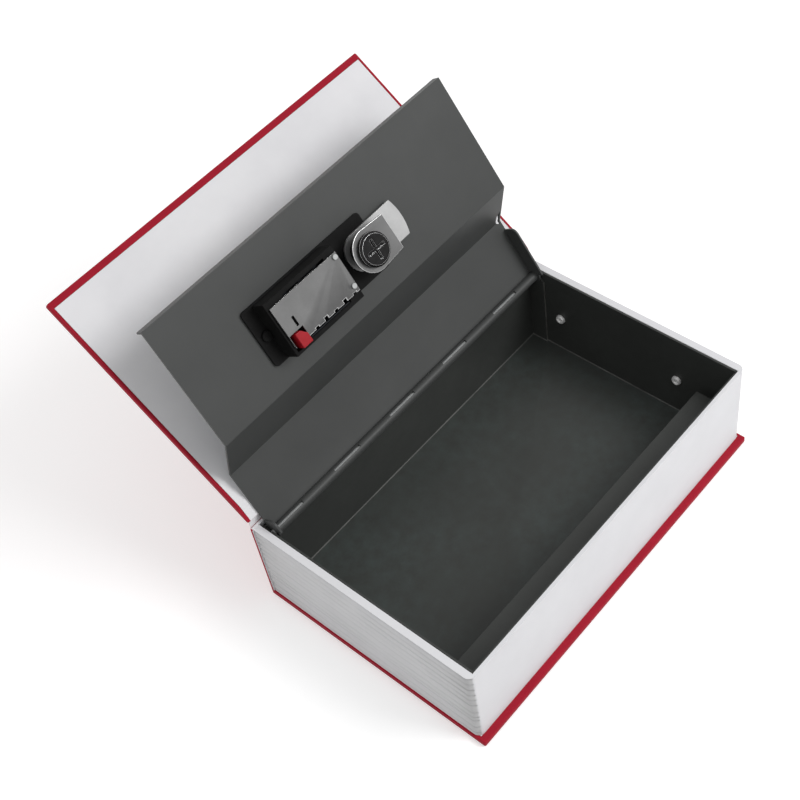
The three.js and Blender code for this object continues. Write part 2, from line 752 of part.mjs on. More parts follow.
// Leaf spring: a strip along the cavity's wall with a bent finger for each dial
function addDetentSpring() {
  const back = cavityHinge - glueGap;
  const low = dialAxisZ - leafHeight;
  const tip = lockCentreY + dialRadius + seatGap;
  const strip = block(cavityTail + dialSideGap, back - leafThickness, low,
    cavityHead - dialSideGap, back, low + leafHeight - fingerRise);
  const finger = [
    [back, low + leafHeight - fingerRise - leafThickness],
    [back, low + leafHeight - fingerRise],
    [tip + leafThickness, dialAxisZ],
    [tip, dialAxisZ],
    [back - leafThickness, low + leafHeight - fingerRise - leafThickness],
  ];
  const fingers = Array.from({ length: dialCount }, (_, i) => {
    const x = firstDialX - i * dialPitch;
    return prism('x', finger, x - fingerWidth / 2, x + fingerWidth / 2);
  });
  addPiece(lidGroup, 'detent_spring', union([strip, ...fingers]), 'brightSteel');
}

// Gate bar: a toothed bar beside the dials, with its travel left between teeth and dials
function addGateBar() {
  const fore = cavityFore + seatGap;
  const low = dialAxisZ - barBelowAxis - barHeight / 2;
  const teeth = Array.from({ length: dialCount }, (_, i) => {
    const x = firstDialX - i * dialPitch;
    return block(x - barToothWidth / 2, fore + barThickness / 2, low,
      x + barToothWidth / 2, fore + barThickness + barTooth,
      low + barHeight);
  });
  const rail = block(cavityTail + dialSideGap, fore, low,
    cavityHead - dialSideGap, fore + barThickness, low + barHeight);
  addPiece(lidGroup, 'gate_bar', union([rail, ...teeth]), 'brightSteel');
}

function plateEdges() {
  return {
    tail: housingTail + plateInset,
    head: housingHead - plateInset / 2,
    fore: housingFore + plateForeInset,
    hinge: housingHinge - plateHingeInset,
  };
}

function studPlaces() {
  const { head, fore, hinge } = plateEdges();
  return [[head - studInset, hinge - 2 * studInset], [head - studInset, fore + studInset]];
}

// Steel plate that closes the housing, notched along the hinge side and cut away at the lever
function addMechanismPlate() {
  const { tail, head, fore, hinge } = plateEdges();
  const pitch = (head - tail - leverBay - 2 * plateInset) / plateNotchCount;
  const slot = tail + plateSlotFromTail;
  const cuts = [leverPocket(), block(
    slot, lockCentreY - plateSlotLength / 2, plateBottom - cutOverrun,
    slot + plateSlotWidth, lockCentreY + plateSlotLength / 2, plateTop + cutOverrun)];
  for (let i = 0; i < plateNotchCount; i += 1) {
    const x = head - (i + 0.5) * pitch;
    cuts.push(block(x - plateNotchWidth / 2, hinge - plateNotchDepth * (1 + i % 2) / 2,
      plateBottom - cutOverrun, x + plateNotchWidth / 2, hinge + cutOverrun,
      plateTop + cutOverrun));
  }
  for (const [x, y] of studPlaces()) {
    cuts.push(bar('z', x, y, studRadius + runningGap,
      plateBottom - cutOverrun, plateTop + cutOverrun));
  }
  addPiece(lidGroup, 'mechanism_plate', cutAll(
    block(tail, fore, plateBottom, head, hinge, plateTop), cuts), 'platedSteel');
  studPlaces().forEach(([x, y], i) => {
    const stud = union([
      bar('z', x, y, studRadius, plateBottom - glueGap - studProud / 2,
        housingBottom + studDepth),
      bar('z', x, y, studHeadRadius, plateBottom - glueGap - studProud,
        plateBottom - glueGap),
    ]);
    addPiece(lidGroup, `plate_stud_${i + 1}`, stud, 'brightSteel');
  });
}

// The lever's bay in the housing and its way through the plate, with room for its travel
function leverPocket() {
  const [x0, y0] = leverCorner();
  return block(x0 - leverTravel - leverFit, y0 - leverFit, plateBottom - cutOverrun,
    x0 + leverLength + leverFit, y0 + leverWidth + leverFit, housingBottom + leverDepth);
}

function leverCorner() {
  return [housingTail + leverWall + leverTravel + leverFit,
    housingHinge - leverWall - leverFit - leverWidth];
}

function addResetLever() {
  const [x0, y0] = leverCorner();
  const foot = block(x0, y0, plateBottom - leverProud,
    x0 + leverLength, y0 + leverWidth, housingBottom + leverDepth - leverFit);
  const chamfer = prism('z', [
    [x0 + leverLength + glueGap, y0 - glueGap],
    [x0 + leverLength + glueGap, y0 + leverChamferWidth],
    [x0 + leverLength - leverChamferLength, y0 - glueGap],
  ], plateBottom - leverProud - cutOverrun, housingBottom + leverDepth);
  addPiece(lidGroup, 'reset_lever', foot.subtract(chamfer), 'redPlastic');
}

// Knob: a low dished disc, hollow below for the spindle's end
function addKnob() {
  const top = knobBottom + knobHeight;
  const socket = spindleRadius + glueGap;
  const profile = [
    [0, knobBottom + knobSocketDepth],
    [socket, knobBottom + knobSocketDepth],
    [socket, knobBottom],
    [knobRadius - knobFootChamfer, knobBottom],
    [knobRadius, knobBottom + knobFootChamfer],
    ...arc(knobRadius - knobEdgeRound, top - knobEdgeRound, knobEdgeRound, 0, 90, cornerSteps),
    [knobDishRadius, top],
    [knobDishRadius - knobDishDepth, top - knobDishDepth],
    [0, top - knobDishDepth],
  ].map(([r, h]) => new THREE.Vector2(r, h));
  addPiece(lidGroup, 'knob', placedOnSpindle(profile, fineSteps), 'blackPlastic');
}

// A turned piece about the knob's axis, its profile written as radius and height
function placedOnSpindle(profile, steps) {
  const turned = new THREE.LatheGeometry(profile, steps);
  turned.rotateX(Math.PI / 2);
  return solid(turned.translate(knobX, lockCentreY, 0));
}

function addSpindle() {
  const blind = collarBottom + screwShankLength - camPlateThickness;
  const bore = screwShankRadius + runningGap;
  const profile = [
    [0, blind],
    [bore, blind],
    [bore, collarBottom],
    [collarRadius, collarBottom],
    [collarRadius, collarTop],
    [spindleRadius, collarTop],
    [spindleRadius, knobBottom + knobSocketDepth - glueGap],
    [0, knobBottom + knobSocketDepth - glueGap],
  ].map(([r, h]) => new THREE.Vector2(r, h));
  addPiece(lidGroup, 'spindle', placedOnSpindle(profile, roundSteps), 'blackPlastic');
}

// An outline about the knob's axis, turned to where the cam points at rest
function turnedOutline(points) {
  const a = -THREE.MathUtils.degToRad(camRestDegrees);
  return points.map(([x, y]) => [
    knobX + x * Math.cos(a) - y * Math.sin(a),
    lockCentreY + x * Math.sin(a) + y * Math.cos(a),
  ]);
}

function addCam() {
  const tip = THREE.MathUtils.radToDeg(Math.asin(camHalfWidth / camReach));
  const tongue = turnedOutline([
    ...arc(0, 0, camReach, -tip, tip, cornerSteps * 2),
    ...arc(0, 0, camHalfWidth, 90, 270, roundSteps),
  ]);
  addPiece(lidGroup, 'cam_tongue', prism('z', tongue, camBottom, camTop).subtract(
    bar('z', knobX, lockCentreY, spindleRadius + glueGap,
      camBottom - cutOverrun, camTop + cutOverrun, roundSteps)), 'platedSteel');
}

function addCamPlate() {
  const plate = turnedOutline([
    [camPlateFlat, -camPlateHalfFlat],
    [camPlateFlat, camPlateHalfFlat],
    ...arc(0, 0, camPlateRadius, 180 - camPlateRoundDegrees / 2,
      180 + camPlateRoundDegrees / 2, roundSteps),
  ]);
  addPiece(lidGroup, 'cam_plate', prism('z', plate, camPlateBottom, camPlateTop).subtract(
    bar('z', knobX, lockCentreY, screwShankRadius + runningGap,
      camPlateBottom - cutOverrun, camPlateTop + cutOverrun)), 'platedSteel');
}

// Cross-recessed screw that holds the cam plate on the spindle
function addCamScrew() {
  const headTop = camPlateBottom - glueGap;
  const headBottom = headTop - screwHeadHeight;
  const profile = [
    [0, headBottom],
    [screwHeadRadius - screwSlotDepth, headBottom],
    [screwHeadRadius, headBottom + screwSlotDepth],
    [screwHeadRadius, headTop],
    [screwShankRadius, headTop],
    [screwShankRadius, headTop + screwShankLength],
    [0, headTop + screwShankLength],
  ].map(([r, h]) => new THREE.Vector2(r, h));
  const arm = screwSlotLength / 2;
  const half = screwSlotWidth / 2;
  const low = headBottom - cutOverrun;
  const deep = headBottom + screwSlotDepth;
  addPiece(lidGroup, 'cam_screw', cutAll(placedOnSpindle(profile, roundSteps), [
    block(knobX - arm, lockCentreY - half, low, knobX + arm, lockCentreY + half, deep),
    block(knobX - half, lockCentreY - arm, low, knobX + half, lockCentreY + arm, deep),
  ]), 'blackPlastic');
}

function addClampScrews() {
  const headTop = baseBottom - glueGap;
  clampPlaces.forEach(([x, y], i) => {
    addPiece(lidGroup, `clamp_screw_${i + 1}`, union([
      bar('z', x, y, clampHeadRadius, headTop - clampHeadHeight, headTop),
      bar('z', x, y, clampRadius, headTop - clampHeadHeight / 2, bezelBottom + clampBite),
    ]), 'paintedSteel');
  });
}

addCase();
addPageBlock();
addTray();
addLatchRail();
addRivets();
addHingeRod();
addLid();
addBezel();
addHousing();
addDials();
addDetentSpring();
addGateBar();
addMechanismPlate();
addResetLever();
addSpindle();
addKnob();
addCam();
addCamPlate();
addCamScrew();
addClampScrews();
addFrontCover();

export default book;
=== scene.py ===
# A book diversion safe, lying open on its back cover: cloth case, white page block, steel tray
# and lid, and a small combination lock. Metres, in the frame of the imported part.
import json
from math import cos, pi, radians, sin
import bmesh
import bpy
from mathutils import Matrix, Quaternion, Vector


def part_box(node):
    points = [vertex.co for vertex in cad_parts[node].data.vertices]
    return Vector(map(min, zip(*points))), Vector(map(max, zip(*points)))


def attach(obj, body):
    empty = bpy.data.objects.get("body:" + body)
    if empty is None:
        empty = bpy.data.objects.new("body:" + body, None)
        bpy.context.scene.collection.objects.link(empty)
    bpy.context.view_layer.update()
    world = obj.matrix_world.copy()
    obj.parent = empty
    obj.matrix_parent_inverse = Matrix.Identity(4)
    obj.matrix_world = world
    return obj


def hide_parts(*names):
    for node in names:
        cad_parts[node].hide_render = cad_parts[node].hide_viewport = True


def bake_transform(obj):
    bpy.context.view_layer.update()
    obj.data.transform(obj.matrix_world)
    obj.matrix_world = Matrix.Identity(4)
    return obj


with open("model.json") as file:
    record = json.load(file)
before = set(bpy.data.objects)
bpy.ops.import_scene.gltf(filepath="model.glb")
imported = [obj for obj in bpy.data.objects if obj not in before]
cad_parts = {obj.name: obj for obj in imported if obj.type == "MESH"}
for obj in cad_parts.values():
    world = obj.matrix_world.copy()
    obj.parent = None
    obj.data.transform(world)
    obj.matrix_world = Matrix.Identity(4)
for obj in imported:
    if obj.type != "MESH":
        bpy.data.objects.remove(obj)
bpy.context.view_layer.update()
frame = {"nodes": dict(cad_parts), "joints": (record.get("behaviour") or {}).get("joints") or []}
scene = bpy.context.scene
mm = 0.001

# Camera
# The view is over the tail and the fore-edge, from about 50 degrees up, with a slight roll.
# A long lens keeps the whole open book in the middle of the frame.
camera_place = Vector((-0.256, -0.242, 0.517))
camera_aim = Vector((-0.0013, 0.0563, 0.040))
camera_roll = radians(-11.15)


def add_object(name, data):
    """A new object in the scene."""
    made = bpy.data.objects.new(name, data)
    scene.collection.objects.link(made)
    return made


def add_aimed(name, data, place, aim, roll=0.0):
    """A new object that looks from a place at a point, with a roll about its view."""
    made = add_object(name, data)
    made.location = place
    made.rotation_mode = "QUATERNION"
    turn = (Vector(aim) - Vector(place)).to_track_quat("-Z", "Y")
    made.rotation_quaternion = turn @ Quaternion((0, 0, 1), roll)
    return made


camera_data = bpy.data.cameras.new("camera")
camera_data.lens = 65.5
scene.camera = add_aimed("camera", camera_data, camera_place, camera_aim, camera_roll)

# Table, backdrop and lamps
# A pale matt table that the camera sees as white, under one large soft lamp at the fore-edge
# side, weaker ones at the tail and behind the spine, and an even white surround.
scene.view_settings.view_transform = "Standard"
floor_half = 4.0
floor_drop = 0.2 * mm
glow_start = 0.4
glow_end = 1.8
surround_light = 0.5
table_mesh = bpy.data.meshes.new("table")
table_mesh.from_pydata([(x * floor_half, y * floor_half, -floor_drop)
                        for x, y in ((-1, -1), (1, -1), (1, 1), (-1, 1))], [], [(0, 1, 2, 3)])
table = add_object("table", table_mesh)


def feed(tree, value, socket):
    """Links a socket to another one, or sets it to a plain value."""
    if isinstance(value, bpy.types.NodeSocket):
        tree.links.new(value, socket)
    else:
        socket.default_value = value


def math_node(tree, operation, first, second=None):
    """One step of arithmetic on sockets or numbers, in a shader or a geometry tree."""
    node = tree.nodes.new("ShaderNodeMath")
    node.operation = operation
    feed(tree, first, node.inputs[0])
    if second is not None:
        feed(tree, second, node.inputs[1])
    return node.outputs[0]


def map_range(tree, value, smooth=False, **ends):
    """A value moved from one range to another. Ends that aren't given are 0 and 1."""
    node = tree.nodes.new("ShaderNodeMapRange")
    node.interpolation_type = "SMOOTHSTEP" if smooth else "LINEAR"
    for label, end in ends.items():
        node.inputs[label.replace("_", " ")].default_value = end
    tree.links.new(value, node.inputs["Value"])
    return node.outputs[0]


def seen_directly(tree):
    """1 for camera, glossy and transmission rays, and 0 for the light that falls on the book."""
    path = tree.nodes.new("ShaderNodeLightPath")
    seen = math_node(tree, "MAXIMUM", path.outputs["Is Camera Ray"], path.outputs["Is Glossy Ray"])
    return math_node(tree, "MAXIMUM", seen, path.outputs["Is Transmission Ray"])


table_finish = bpy.data.materials.new("table")
table_finish.use_nodes = True
table_tree = table_finish.node_tree
table_shader = table_tree.nodes["Principled BSDF"]
for label, value in (("Base Color", (0.78, 0.78, 0.78, 1)), ("Roughness", 1),
                     ("Specular IOR Level", 0), ("Emission Color", (1, 1, 1, 1))):
    table_shader.inputs[label].default_value = value
table_place = table_tree.nodes.new("ShaderNodeTexCoord")
table_reach = table_tree.nodes.new("ShaderNodeVectorMath")
table_reach.operation = "LENGTH"
table_tree.links.new(table_place.outputs["Object"], table_reach.inputs[0])
table_glow = map_range(table_tree, table_reach.outputs["Value"], From_Min=glow_start,
                       From_Max=glow_end, To_Min=0.4, To_Max=0.66)
table_tree.links.new(math_node(table_tree, "MULTIPLY", seen_directly(table_tree), table_glow),
                     table_shader.inputs["Emission Strength"])
table_mesh.materials.append(table_finish)

surround = bpy.data.worlds.new("surround")
scene.world = surround
surround.use_nodes = True
world_tree = surround.node_tree
background = world_tree.nodes["Background"]
background.inputs["Color"].default_value = (1, 1, 1, 1)
world_tree.links.new(map_range(world_tree, seen_directly(world_tree), To_Min=surround_light),
                     background.inputs["Strength"])


book_middle = (0, 0.04, 0.05)


def lamp(name, place, size, watts):
    """A square soft lamp that faces the book."""
    data = bpy.data.lights.new(name, "AREA")
    data.size = size
    data.energy = watts
    add_aimed(name, data, place, book_middle)


lamp("fore_edge_lamp", (0.45, -0.75, 0.95), size=0.6, watts=9.5)
lamp("tail_lamp", (-0.9, -0.2, 0.7), size=0.7, watts=0.9)
lamp("back_lamp", (-0.35, 0.95, 0.3), size=0.7, watts=2.6)

# Case binding of the base
# Back and spine boards with one piece of fine red book cloth pasted round them and turned in at
# every edge. The cloth is woven, matt, and a little darker where the threads cross.
cloth_deep = (0.37, 0.013, 0.029, 1)
cloth_bright = (0.43, 0.016, 0.035, 1)
cloth_edge_radius = 0.75 * mm
cloth_turn_in_radius = 0.16 * mm
cloth_thread = 0.42 * mm
board_edge = 0.15 * mm
weld_distance = 0.002 * mm
flat_angle = radians(0.6)
sharp_angle = radians(30)
facing = 0.9


def shader_group(name, inputs, outputs):
    """A shader node group with named sockets: its tree, its input node and its output node."""
    tree = bpy.data.node_groups.new(name, "ShaderNodeTree")
    for label, kind, value in inputs:
        socket = tree.interface.new_socket(label, in_out="INPUT", socket_type=kind)
        if value is not None:
            socket.default_value = value
    for label, kind in outputs:
        tree.interface.new_socket(label, in_out="OUTPUT", socket_type=kind)
    return tree, tree.nodes.new("NodeGroupInput"), tree.nodes.new("NodeGroupOutput")


def mixed(tree, share, first, second, blend="MIX"):
    """Two colours mixed by a share. Each of the three is a socket or a plain value."""
    node = tree.nodes.new("ShaderNodeMix")
    node.data_type = "RGBA"
    node.blend_type = blend
    for label, value in (("Factor", share), ("A", first), ("B", second)):
        feed(tree, value, node.inputs[label])
    return node.outputs["Result"]


def noise_value(tree, place, scale):
    """Even noise from 0 to 1 over a place."""
    noise = tree.nodes.new("ShaderNodeTexNoise")
    noise.inputs["Scale"].default_value = scale
    tree.links.new(place, noise.inputs["Vector"])
    return noise.outputs["Fac"]


# Slow drift between two colours over a surface
drift, drift_in, drift_out = shader_group("drift", [
    ("Vector", "NodeSocketVector", None), ("Scale", "NodeSocketFloat", 40.0),
    ("Low", "NodeSocketColor", (0, 0, 0, 1)), ("High", "NodeSocketColor", (1, 1, 1, 1)),
], [("Color", "NodeSocketColor"), ("Mask", "NodeSocketFloat")])
drift_noise = drift.nodes.new("ShaderNodeTexNoise")
drift_noise.inputs["Detail"].default_value = 5
drift_noise.inputs["Roughness"].default_value = 0.6
drift.links.new(drift_in.outputs["Vector"], drift_noise.inputs["Vector"])
drift.links.new(drift_in.outputs["Scale"], drift_noise.inputs["Scale"])
drift_share = map_range(drift, drift_noise.outputs["Fac"], From_Min=0.3, From_Max=0.7)
drift.links.new(mixed(drift, drift_share, drift_in.outputs["Low"], drift_in.outputs["High"]),
                drift_out.inputs["Color"])
drift.links.new(drift_share, drift_out.inputs["Mask"])

# Plain weave: two sets of threads at right angles, one thread wide, with uneven thickness
weave, weave_in, weave_out = shader_group("weave", [
    ("Vector", "NodeSocketVector", None), ("Threads", "NodeSocketFloat", 1 / cloth_thread),
], [("Height", "NodeSocketFloat")])
waves_per_thread = 0.314
weave_slub = noise_value(weave, weave_in.outputs["Vector"], 900)
weave_waves = []
for direction in ("X", "Y"):
    wave = weave.nodes.new("ShaderNodeTexWave")
    wave.bands_direction = direction
    wave.inputs["Distortion"].default_value = 0.6
    wave.inputs["Detail"].default_value = 1
    wave_scale = math_node(weave, "MULTIPLY", weave_in.outputs["Threads"], waves_per_thread)
    weave.links.new(wave_scale, wave.inputs["Scale"])
    weave.links.new(weave_in.outputs["Vector"], wave.inputs["Vector"])
    weave_waves.append(wave.outputs["Fac"])
weave_high = math_node(weave, "MAXIMUM", *weave_waves)
weave.links.new(math_node(weave, "MULTIPLY", weave_high, weave_slub), weave_out.inputs["Height"])


def new_finish(name, roughness, metallic=0.0, coordinates="Object"):
    """A material with its tree, its shader and the coordinates that its patterns read."""
    material = bpy.data.materials.new(name)
    material.use_nodes = True
    tree = material.node_tree
    shader = tree.nodes["Principled BSDF"]
    shader.inputs["Roughness"].default_value = roughness
    shader.inputs["Metallic"].default_value = metallic
    source = tree.nodes.new("ShaderNodeTexCoord")
    return material, tree, shader, source.outputs[coordinates]


def place_group(tree, group, vector, **values):
    """One use of a shader group in a material, with its own values."""
    node = tree.nodes.new("ShaderNodeGroup")
    node.node_tree = group
    tree.links.new(vector, node.inputs["Vector"])
    for label, value in values.items():
        node.inputs[label].default_value = value
    return node


def relief(tree, shader, height, strength, distance):
    """Feeds a height to the shader's normal."""
    bump = tree.nodes.new("ShaderNodeBump")
    bump.inputs["Strength"].default_value = strength
    bump.inputs["Distance"].default_value = distance
    tree.links.new(height, bump.inputs["Height"])
    tree.links.new(bump.outputs["Normal"], shader.inputs["Normal"])


def toned_finish(name, roughness, scale, low, high, metallic=0.0, specular=None, grain=None):
    """A finish that drifts between two tones. Its grain is given as scale, strength and depth."""
    material, tree, shader, place = new_finish(name, roughness, metallic)
    tone = place_group(tree, drift, place, Scale=scale, Low=(*low, 1), High=(*high, 1))
    tree.links.new(tone.outputs["Color"], shader.inputs["Base Color"])
    if specular is not None:
        shader.inputs["Specular IOR Level"].default_value = specular
    if grain:
        fine = place_group(tree, drift, place, Scale=grain[0])
        relief(tree, shader, fine.outputs["Mask"], *grain[1:])
    return material


book_cloth, cloth_tree, cloth_shader, cloth_uv = new_finish("book_cloth", roughness=0.78,
                                                             coordinates="UV")
cloth_tone = place_group(cloth_tree, drift, cloth_uv, Scale=55, Low=cloth_deep, High=cloth_bright)
cloth_weave = place_group(cloth_tree, weave, cloth_uv)
cloth_dark = mixed(cloth_tree, 0.22, cloth_tone.outputs["Color"], cloth_weave.outputs["Height"],
                   "MULTIPLY")
cloth_tree.links.new(cloth_dark, cloth_shader.inputs["Base Color"])
relief(cloth_tree, cloth_shader, cloth_weave.outputs["Height"], strength=0.35, distance=0.05 * mm)
cloth_shader.inputs["Specular IOR Level"].default_value = 0.1
cloth_shader.inputs["Sheen Weight"].default_value = 0.05

grey_board = toned_finish("grey_board", roughness=0.95, scale=420, low=(0.25, 0.235, 0.2),
                          high=(0.36, 0.34, 0.3))


def merged_copy(node):
    """A CAD node's mesh with its loose triangles joined and its flat faces whole."""
    shape = bmesh.new()
    shape.from_mesh(frame["nodes"][node].data)
    bmesh.ops.remove_doubles(shape, verts=shape.verts, dist=weld_distance)
    bmesh.ops.dissolve_limit(shape, angle_limit=flat_angle, verts=shape.verts, edges=shape.edges)
    return shape


def edges_where(shape, test):
    """Sharp edges whose middle and direction pass a test."""
    shape.normal_update()
    found = []
    for edge in shape.edges:
        if len(edge.link_faces) == 2 and edge.calc_face_angle() > sharp_angle:
            a, b = (v.co for v in edge.verts)
            if test((a + b) / 2, (b - a).normalized()):
                found.append(edge)
    return found


def round_off(shape, edges, radius, segments=4, finish=-1):
    """Rounds edges, and gives the rounded faces the finish with this number."""
    bmesh.ops.bevel(shape, geom=edges, offset=radius, segments=segments, profile=0.5,
                    affect="EDGES", clamp_overlap=True, material=finish)


def lay_threads(shape):
    """Box-projected UVs in metres, so that the weave runs true on every side."""
    shape.normal_update()
    layer = shape.loops.layers.uv.new("threads")
    for face in shape.faces:
        across = max(range(3), key=lambda axis: abs(face.normal[axis]))
        first, second = [axis for axis in range(3) if axis != across]
        for loop in face.loops:
            loop[layer].uv = (loop.vert.co[first], loop.vert.co[second])


def finish_piece(name, shape, material, body, nodes=(), edge=None, smooth=30, edge_finish=-1):
    """Makes a mesh into a piece on its body, with its small sharp edges eased by a bevel."""
    mesh = bpy.data.meshes.new(name)
    shape.normal_update()
    for one in shape.edges:
        if len(one.link_faces) == 2:
            one.smooth = one.calc_face_angle() < radians(smooth)
    for face in shape.faces:
        face.smooth = True
    shape.to_mesh(mesh)
    shape.free()
    for one in material if isinstance(material, list) else [material]:
        mesh.materials.append(one)
    piece = add_object(name, mesh)
    if edge:
        bevel = piece.modifiers.new("eased edges", "BEVEL")
        bevel.width = edge
        bevel.segments = 2
        bevel.limit_method = "ANGLE"
        bevel.angle_limit = radians(smooth)
        bevel.harden_normals = True
        bevel.material = edge_finish
    if body:
        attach(piece, body)
    if nodes:
        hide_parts(*nodes)
    return piece


def cad_piece(name, node, material, body, edge, edge_finish=-1):
    """A piece in the shape of the CAD node that it replaces."""
    finish_piece(name, merged_copy(node), material, body, [node], edge, edge_finish=edge_finish)


def on_outline(low, high, margin=0.01 * mm):
    """True for an edge that lies on two sides of a box at once."""
    def test(middle, direction):
        sides = sum(min(abs(middle[a] - low[a]), abs(middle[a] - high[a])) < margin for a in range(3))
        return sides >= 2
    return test


case = merged_copy("case_cloth")
case_low, case_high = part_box("case_cloth")
back_cover_high = (case_high.x, case_high.y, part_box("back_lining")[1].z)
whole_case = on_outline(case_low, case_high)
back_cover = on_outline(case_low, back_cover_high)
round_off(case, edges_where(case, lambda middle, direction: whole_case(middle, direction)
                            or back_cover(middle, direction)), cloth_edge_radius)
lay_threads(case)
for node in ("back_board", "spine_board"):
    cad_piece(node + "_grey", node, grey_board, "base", board_edge)

# Front cover
# The same cloth on a thinner board, pasted down all round, and thinned along the hinge. It
# follows the lid, so its closed place comes from the hinge's own joint.
joints = {joint["name"]: joint for joint in frame["joints"]}


def closing(joint_name):
    """The turn from the open rest place to the closed one."""
    joint = joints[joint_name]
    place = Matrix.Translation(Vector(joint["pos_m"]))
    turn = Matrix.Rotation(radians(joint["range_deg"][1]), 4, Vector(joint["axis"]))
    return place @ turn @ place.inverted()


def shape_box(shape):
    """The lowest and the highest corner of a shape's box."""
    return [Vector(end(v.co[axis] for v in shape.verts) for axis in range(3)) for end in (min, max)]


cover_closed = closing("cover_hinge")
cover_open = cover_closed.inverted()
cover = merged_copy("front_cloth")
cover.transform(cover_closed)
cover_low, cover_high = shape_box(cover)
round_off(cover, edges_where(cover, on_outline(cover_low, cover_high)), cloth_edge_radius)
lay_threads(cover)
cover.transform(cover_open)
finish_piece("front_cover_cloth", cover, book_cloth, "front_cover", ["front_cloth"],
             edge=cloth_turn_in_radius)
cad_piece("front_board_grey", "front_board", grey_board, "front_cover", board_edge)

# Lining paper and joint
# Smooth white paper inside both covers, its edges just short of the turned-in cloth. A strip of
# cloth, lined with the same paper, crosses the joint.
lining_paper = toned_finish("lining_paper", roughness=0.82, scale=24, low=(0.72, 0.715, 0.735),
                            high=(0.8, 0.795, 0.81), grain=(1600, 0.12, 0.02 * mm))
spine_zone = 5 * mm
top_zone = 0.5 * mm
for face in case.faces:
    middle = face.calc_center_median()
    on_top = face.normal.z > facing and middle.z > case_high.z - top_zone
    towards_block = face.normal.y < -facing and middle.y > case_high.y - spine_zone
    face.material_index = 1 if on_top or towards_block else 0
finish_piece("case_binding", case, [book_cloth, lining_paper], "base",
             ["case_cloth"], edge=cloth_turn_in_radius)
lining_run = 3.05 * mm
lining_rise = 0.9 * mm
lining_rim = 0.1 * mm
lining = merged_copy("front_lining")
lining.transform(cover_closed)
joint_side = shape_box(lining)[1].y - lining_rim
for vertex in lining.verts:
    if vertex.co.y > joint_side:
        vertex.co += Vector((0, lining_run, lining_rise))
lining.transform(cover_open)
finish_piece("front_lining_paper", lining, lining_paper, "front_cover",
             ["front_lining"], edge=0.05 * mm)
cad_piece("back_lining_paper", "back_lining", lining_paper, "base", 0.12 * mm)

hinge_y, hinge_z = joints["cover_hinge"]["pos_m"][1:]
joint_half = cover_high.x - cloth_edge_radius
joint_thickness = 0.12 * mm
joint_proud = 0.07 * mm
joint_reach = 2.0 * mm
joint_bend = 0.4 * mm
inner_facing = -0.3
joint_drops = (5.5 * mm, 4 * mm, 3 * mm, 2 * mm, 1 * mm, joint_bend)
outward = cover_open.to_3x3() @ Vector((0, 0, 1))
along = cover_open.to_3x3() @ Vector((0, -1, 0))


def on_cover(run):
    """A place on the open cover's outside, this far from the hinge line, just proud of it."""
    return (hinge_y + along.y * run + outward.y * joint_proud,
            hinge_z + along.z * run + outward.z * joint_proud)


def on_spine(drop):
    """A place on the spine's outside, this far below the hinge line, just proud of it."""
    return hinge_y + joint_proud, hinge_z - drop


joint_route = [on_spine(drop) for drop in (*joint_drops, 0)]
joint_route += [on_cover(run) for run in (joint_bend, 0.5 * joint_reach, joint_reach)]
joint_shape = bmesh.new()
near, far = [[joint_shape.verts.new((x, y, z)) for y, z in joint_route]
             for x in (-joint_half, joint_half)]
for i in range(len(joint_route) - 1):
    joint_shape.faces.new((near[i], near[i + 1], far[i + 1], far[i]))
joint_shape.normal_update()
if joint_shape.faces[:][0].normal.y < 0:
    bmesh.ops.reverse_faces(joint_shape, faces=joint_shape.faces)
bmesh.ops.solidify(joint_shape, geom=joint_shape.faces[:], thickness=joint_thickness)
bmesh.ops.recalc_face_normals(joint_shape, faces=joint_shape.faces)
lay_threads(joint_shape)
for face in joint_shape.faces:
    face.material_index = 1 if face.normal.y < inner_facing else 0
joint_cloth = finish_piece("joint_cloth", joint_shape, [book_cloth, lining_paper], None)
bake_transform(joint_cloth)

# Page block
# A moulded white block, open at the spine, whose ends are ribbed like the edges of pages that
# don't quite lie even. The fore-edge is smooth, and the ribs end in its rounded corners.
block_low, block_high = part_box("page_block")
page_corner = 3.0 * mm
end_wall = 3.1 * mm
fore_wall = 1.4 * mm
page_rows = 190
face_columns = 30
page_rib_depth = 0.9 * mm
page_middle_share = 0.5
page_rib_pitch = 4.2 * mm
page_leaf_depth = 0.2 * mm
page_leaf_pitch = 1.0 * mm
corner_steps = 8
corner_ribbed_steps = 5
corner_rise = 5

wall = bmesh.new()
fade_layer = wall.verts.layers.float.new("ribbed")
out_layer = wall.verts.layers.float_vector.new("outward")
outline = []
for side in (-1, 1):
    leg_points = []
    for i in range(face_columns + 1):
        y = block_high.y + (block_low.y + page_corner - block_high.y) * i / face_columns
        near_corner = abs(2 * i / face_columns - 1) ** corner_rise
        leg_points.append(((side * block_high.x, y), (side * (block_high.x - end_wall),
                          max(y, block_low.y + fore_wall)), (side, 0),
                          page_middle_share + (1 - page_middle_share) * near_corner))
    for i in range(1, corner_steps + 1):
        a = radians(90 * i / corner_steps)
        centre = (side * (block_high.x - page_corner), block_low.y + page_corner)
        leg_points.append(((centre[0] + side * page_corner * cos(a), centre[1] - page_corner * sin(a)),
                           (side * (block_high.x - end_wall), block_low.y + fore_wall),
                           (side * cos(a), -sin(a)), 1.0 if i <= corner_ribbed_steps else 0.0))
    outline.append(leg_points)
ring = outline[0] + outline[1][::-1]
grid = []
for row in range(page_rows + 1):
    z = block_low.z + (block_high.z - block_low.z) * row / page_rows
    edge_fade = 0.0 if row in (0, page_rows) else 1.0
    line = []
    for (x, y), _, (nx, ny), fade in ring:
        vertex = wall.verts.new((x, y, z))
        vertex[fade_layer] = fade * edge_fade
        vertex[out_layer] = Vector((nx, ny, 0))
        line.append(vertex)
    grid.append(line)
inner_low = [wall.verts.new((x, y, block_low.z)) for _, (x, y), _, _ in ring]
inner_high = [wall.verts.new((x, y, block_high.z)) for _, (x, y), _, _ in ring]
